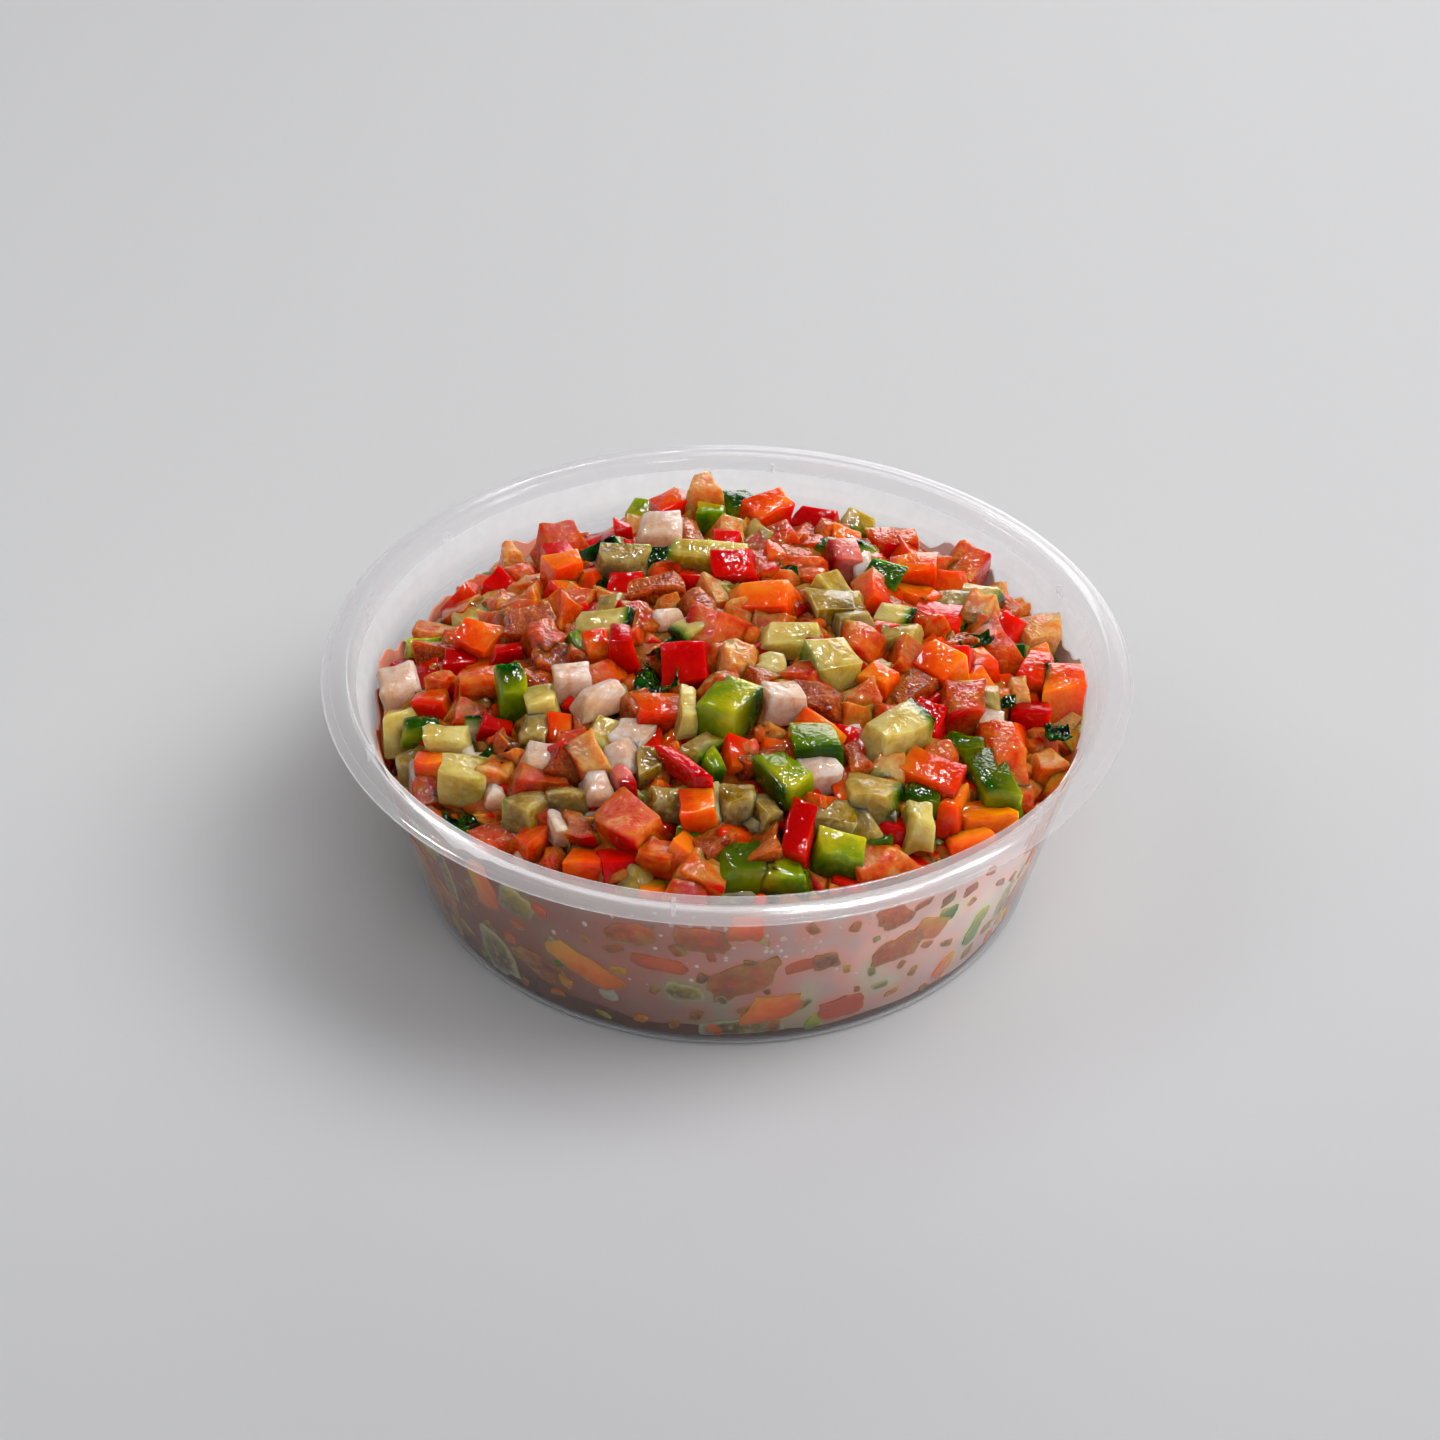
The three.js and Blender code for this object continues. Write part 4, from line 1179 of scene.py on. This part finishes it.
def wall_die(kind, azimuth, height, wide, tall, turn, tone):
    """A die pressed on the wall, its outer face a hair inside the plastic."""
    die = bmesh.new()
    bmesh.ops.create_grid(die, x_segments=PATCH_CUTS, y_segments=PATCH_CUTS, size=0.5)
    skew, taper, other = (draw.uniform(-WALL_SKEW, WALL_SKEW) for _ in range(3))
    ragged = min(0.9, 0.25 * min(wide, tall))
    start = anywhere()
    for corner in die.verts:
        x, y = corner.co.xy
        x, y = x * (1 - 0.5 * y * y), y * (1 - 0.5 * x * x)
        corner.co.xy = (x * (1 + taper * y) + skew * y) * wide, y * (1 + other * x) * tall
        corner.co.xy *= WALL_GROWTH
        corner.co.xy += push(corner.co * 0.5 + start).xy * ragged
    grown = bmesh.ops.extrude_face_region(die, geom=die.faces[:])["geom"]
    front = [part for part in grown if isinstance(part, bmesh.types.BMVert)]
    bmesh.ops.translate(die, vec=(0, 0, DIE_DEEP), verts=front)
    bmesh.ops.recalc_face_normals(die, faces=die.faces)
    bmesh.ops.rotate(die, matrix=Matrix.Rotation(math.radians(-90), 3, "X"), verts=die.verts)
    outermost = max(v.co.y for v in die.verts)
    bmesh.ops.rotate(die, matrix=Matrix.Rotation(math.radians(turn), 3, "Y"), verts=die.verts)
    deeper = DEPTH_STEP * (len(pressed) % DEPTH_STEPS)
    deeper += LARGE_DEEPER if min(wide, tall) > SMALL_SIZE[1] else 0.0
    bmesh.ops.translate(die, vec=(0, INTO_WALL + deeper - outermost, 0), verts=die.verts)
    mark(die, "B" if kind == "radish" else ".", tone, at_wall=1.0)
    wrap(die, azimuth, height)
    put(heaps[kind], die)
    pressed.append((kind, azimuth, height, wide * WALL_GROWTH, tall * WALL_GROWTH))


for kind, rows in WALL_SHOWN.items():
    for row in rows:
        wall_die(kind, *row)
for try_number in range(WALL_TRIES + SMALL_TRIES):
    small = try_number > WALL_TRIES
    if len(pressed) > (WALL_DICE + SMALL_DICE if small else WALL_DICE):
        break
    azimuth = draw.uniform(-180, 180)
    height = draw.uniform(WALL_LOW, WALL_TOP)
    if height > heap_height(*edge_place(math.radians(azimuth))) - 1:
        continue
    if not small and FRONT[0] < azimuth < FRONT[1]:
        continue
    room = SMALL_ROOM if small else WALL_ROOM
    if any(math.hypot((azimuth - at) * MM_PER_DEGREE, height - up) < room
           for _, at, up, *_ in pressed):
        continue
    kind = any_kind()
    if kind == "herbs":
        kind = "cucumber"
    wide, tall = (draw.uniform(*(SMALL_SIZE if small else WALL_SIZE)) for _ in range(2))
    wall_die(kind, azimuth, height, wide, tall, draw.uniform(-WALL_TURN, WALL_TURN), draw.random())
print(len(pressed), "dice against the wall")

# %% [markdown]
# The haze layer is a turned band with its own finish: blurred blots of the colours behind it,
# washed with milky pink and grey, and painted darker to the left and brighter to the right as
# painted shade and light. Juice has drained to the bottom, where it stands brown, deeper at the
# front left, where its dark also paints shade, with a wavy edge.

# %% The haze, the core and the juice
HAZE_INTO = 0.04
JUICE_INTO = 0.08
CORE_SINK = 3.2
CORE_GAP = 0.4
CORE_RINGS = 24
BAND_STEPS = 288
BAND_ROWS = 20
BAND_THICK = 0.3
BAND_GAP = 0.3  # how far below the ledge the haze stops
HALO = 2.6  # how far round a die the haze is tinged
HALO_REACH = 12  # and how far off, in mm or degrees, a die is looked at
GREENS = ("green_pepper", "cucumber")
HAZE_OVER = 2.2  # how far above the dice's middles juice wets the wall
HAZE_FRONT = 3.6  # and how much further at the front, where the dice stand up to the ledge
JUICE_AND_SHADE_DEEPEST = math.radians(-118)


def haze_finish():
    """Milky plastic, tinged by the dice that touch it, with painted shade and light: browner and
    darker towards the left, paler and brighter towards the right, darker towards the bottom.
    """
    material, tree, shader = new_finish("milky_haze", Roughness=0.5, IOR=1.4)
    place = place_of(tree)
    veil = blend(tree, grain(tree, 7, 1.0), srgb(164, 142, 140), srgb(206, 172, 164))
    blots = node(tree, "TexVoronoi", {"Vector": place, "Scale": 1 / (8 * MM), "Smoothness": 1.0},
                 feature="SMOOTH_F1")
    pick = node(tree, "SeparateColor", {"Color": blots.outputs["Color"]}).outputs[0]
    far = ramp(tree, pick, (0.2, srgb(140, 118, 112)), (0.5, srgb(208, 138, 116)),
               (0.8, srgb(182, 180, 160)))
    milky = blend(tree, 0.45, veil, far)
    for tint, most, colour in (("warm", 0.5, (230, 118, 82)), ("green", 0.6, (172, 182, 132))):
        share = reckon(tree, "MULTIPLY", own(tree, tint), most)
        milky = blend(tree, share, milky, srgb(*colour))
    split = node(tree, "SeparateXYZ", {"Vector": place})
    # Painted shade and light: browner and darker to the left, paler and brighter to the right,
    # darker towards the bottom, and even at the back.
    brown = span(tree, split.outputs["X"], -36 * MM, 8 * MM, 0.72, 0.0)
    milky = blend(tree, brown, milky, srgb(190, 100, 62))
    pale = span(tree, split.outputs["X"], 8 * MM, 42 * MM, 0.0, 0.5)
    milky = blend(tree, pale, milky, srgb(212, 200, 194))
    right = reckon(tree, "POWER", span(tree, split.outputs["X"], -42 * MM, 40 * MM), 1.5)
    across = span(tree, right, 0, 1, 0.36, 1.85)
    behind = span(tree, split.outputs["Y"], -34 * MM, -6 * MM)
    level = reckon(tree, "MULTIPLY", behind, reckon(tree, "SUBTRACT", 0.95, across))
    upward = span(tree, split.outputs["Z"], 3 * MM, 18 * MM, 0.5, 1.05)
    lit = reckon(tree, "MULTIPLY", reckon(tree, "ADD", across, level), upward)
    milk_and_painted_light = node(tree, "HueSaturation", {"Color": milky, "Value": lit})
    plug(tree, shader.inputs["Base Color"], milk_and_painted_light.outputs["Color"])
    plug(tree, shader.inputs["Normal"], relief(tree, grain(tree, 5), 0.2))
    return material


def core_finish():
    """The wet red between the dice, painted dark, partly as painted shade for the deep gaps."""
    material, tree, shader = wet("wet_core", 1.5)
    dark = blend(tree, grain(tree, 2.5), seen(84, 8, 2), seen(166, 44, 8))
    plug(tree, shader.inputs["Base Color"], dark)
    plug(tree, shader.inputs["Normal"], relief(tree, grain(tree, 1.8), 0.5))
    return material


def juice_finish():
    """Brown juice with a clear shine."""
    material, tree, shader = new_finish("brown_juice", Roughness=0.2, IOR=1.35)
    brown = blend(tree, grain(tree, 7), srgb(62, 28, 14), srgb(92, 56, 36))
    plug(tree, shader.inputs["Base Color"], brown)
    return material


def core_relief(across, back):
    """Waves that keep the core from being a smooth dome, in mm."""
    return 0.8 * math.sin(across * 0.9 + 1) * math.cos(back * 0.8 + across * 0.2)


edge_height = HEAP_EDGE - CORE_SINK
edge_radius = inside_radius(edge_height) - CORE_GAP
core_outline = [(0, FLOOR + 0.1), (INSIDE_BASE.x - BASE_CORNER, FLOOR + 0.1)]
core_outline += [(inside_radius(h) - CORE_GAP, h) for h in (INSIDE_BASE.y, 10, 20)]
core_outline += [(edge_radius * (1 - i / CORE_RINGS), edge_height) for i in range(CORE_RINGS + 1)]
core = turned(core_outline, BAND_STEPS)
for corner in core.verts:
    if corner.co.z > (edge_height - 0.5) * MM:
        across, back = corner.co.xy / MM
        corner.co.z = (heap_height(across, back) - CORE_SINK + core_relief(across, back)) * MM
of_heap(core, "salad_core", core_finish())


def band(low, top, into):
    """A closed ring on the inside of the wall, from low up to a top that the azimuth sets."""
    rows = [i / BAND_ROWS for i in range(BAND_ROWS + 1)]
    outer = WALL_RADIUS + into
    loop = [(outer, part) for part in rows] + [(outer - BAND_THICK, part) for part in rows[::-1]]
    ring = turned(loop + loop[:1], BAND_STEPS)
    for corner in ring.verts:
        place = corner.co / MM
        azimuth = math.atan2(place.y, place.x)
        height = low + (top(azimuth) - low) * place.z
        radius = inside_radius(height) + place.xy.length - WALL_RADIUS
        corner.co = Vector((radius * math.cos(azimuth), radius * math.sin(azimuth), height)) * MM
    return ring


def tinge(ring):
    """Writes how much each place on a ring is tinged by the warm and green dice next to it."""
    warm, green = (ring.verts.layers.float.new(name) for name in ("warm", "green"))
    for corner in ring.verts:
        place = corner.co / MM
        azimuth = math.degrees(math.atan2(place.y, place.x))
        for kind, at, height, wide, tall in pressed:
            if abs(azimuth - at) > HALO_REACH or abs(place.z - height) > HALO_REACH:
                continue
            side, up = (azimuth - at) * MM_PER_DEGREE, place.z - height
            apart = math.hypot(side / wide, up / tall) * 2 - 1
            near = max(0, 1 - max(0, apart) * min(wide, tall) / 2 / HALO)
            layer = green if kind in GREENS else warm
            corner[layer] = max(corner[layer], near * near * (3 - 2 * near))


def haze_top(azimuth):
    """How high the salad wets the wall: ragged, but level under the ledge at the front."""
    ripple = 1.1 * math.sin(9 * azimuth) + 0.9 * math.sin(17 * azimuth + 1)
    fine = 0.8 * math.sin(41 * azimuth + 2) * math.cos(5 * azimuth)
    ripple += fine + 0.5 * math.sin(67 * azimuth)
    front = max(0, -math.sin(azimuth)) ** 2
    top = heap_height(*edge_place(azimuth)) + HAZE_OVER + HAZE_FRONT * front
    return min(top + ripple * (1 - 0.85 * front), ledge - BAND_GAP)


def juice_top(azimuth):
    """The juice's uneven edge, deepest at the front left, where its dark also paints shade."""
    left = max(0, math.cos(azimuth - JUICE_AND_SHADE_DEEPEST)) ** 8
    ripple = 0.4 * math.sin(11 * azimuth) + 0.3 * math.sin(23 * azimuth + 2)
    return FLOOR + 1.1 + 2.6 * left + ripple * (0.5 + left)


for name, ring, finish in (
    ("milky_haze", band(FLOOR + 0.4, haze_top, HAZE_INTO), haze_finish()),
    ("brown_juice", band(FLOOR + 0.2, juice_top, JUICE_INTO), juice_finish()),
):
    tinge(ring)
    of_heap(ring, name, finish)

# %% [markdown]
# Drops of juice hang on the inside of the wall: a cluster high up at the front, where the photo
# shows them, and others scattered over the whole front half. Their near-white colour is a painted
# glint.

# %% Drops on the wall
DROP_CLUSTER = 70
CLUSTER_AT, CLUSTER_WIDE, CLUSTER_HEIGHTS = -84, 12, (19, 29)
DROPS_AROUND = 60
AROUND_AZIMUTHS, AROUND_HEIGHTS = (-172, -8), (6, 28)
DROP_RADIUS = (0.16, 0.42)
DROP_FLATNESS = 0.3
drops = bmesh.new()
for number in range(DROP_CLUSTER + DROPS_AROUND):
    if number < DROP_CLUSTER:
        azimuth, height = draw.gauss(CLUSTER_AT, CLUSTER_WIDE), draw.uniform(*CLUSTER_HEIGHTS)
    else:
        azimuth, height = draw.uniform(*AROUND_AZIMUTHS), draw.uniform(*AROUND_HEIGHTS)
    drop = bmesh.new()
    bmesh.ops.create_icosphere(drop, subdivisions=2, radius=1)
    wide = draw.uniform(*DROP_RADIUS)
    size = (wide, DROP_FLATNESS * wide, wide * draw.uniform(0.8, 1.6))
    bmesh.ops.scale(drop, vec=size, verts=drop.verts)
    wrap(drop, azimuth, height)
    put(drops, drop)
juice_and_painted_glint, tree, shader = new_finish("juice_and_painted_glint", Roughness=0.04, IOR=1.34)
# Painted glints: the drops are painted near white.
pale = blend(tree, grain(tree, 2), srgb(250, 232, 220), srgb(240, 208, 190))
plug(tree, shader.inputs["Base Color"], pale)
plug(tree, shader.inputs["Normal"], relief(tree, grain(tree, 0.6), 0.02))
shader.inputs["Transmission Weight"].default_value = 0.3
made = of_heap(drops, "juice_drops", juice_and_painted_glint, DROP_SMOOTH_ANGLE)
print(len(made.data.polygons), "faces of drops")

# %% [markdown]
# Each kind of vegetable is now one joined mesh. Its edges are soft enough to be shaded smooth,
# but for the crisp turns at a cut.

# %% Turn each kind into a piece
for kind, bm in heaps.items():
    made = of_heap(bm, "salad_" + kind, KINDS[kind], DIE_SMOOTH_ANGLE)
    print(made.name, len(made.data.polygons), "faces")
bpy.data.meshes.remove(scratch)

# %% [markdown]
# ## The size of the dressed model
# The dressed model is meant to stay in the CAD model's box, so both boxes are printed.

# %% Print both boxes
low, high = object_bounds()
{"cad": [list(cad_low), list(cad_high)], "visual": [list(low), list(high)]}
print("visual box in mm:", [round(v / MM, 1) for v in (*low, *high)])
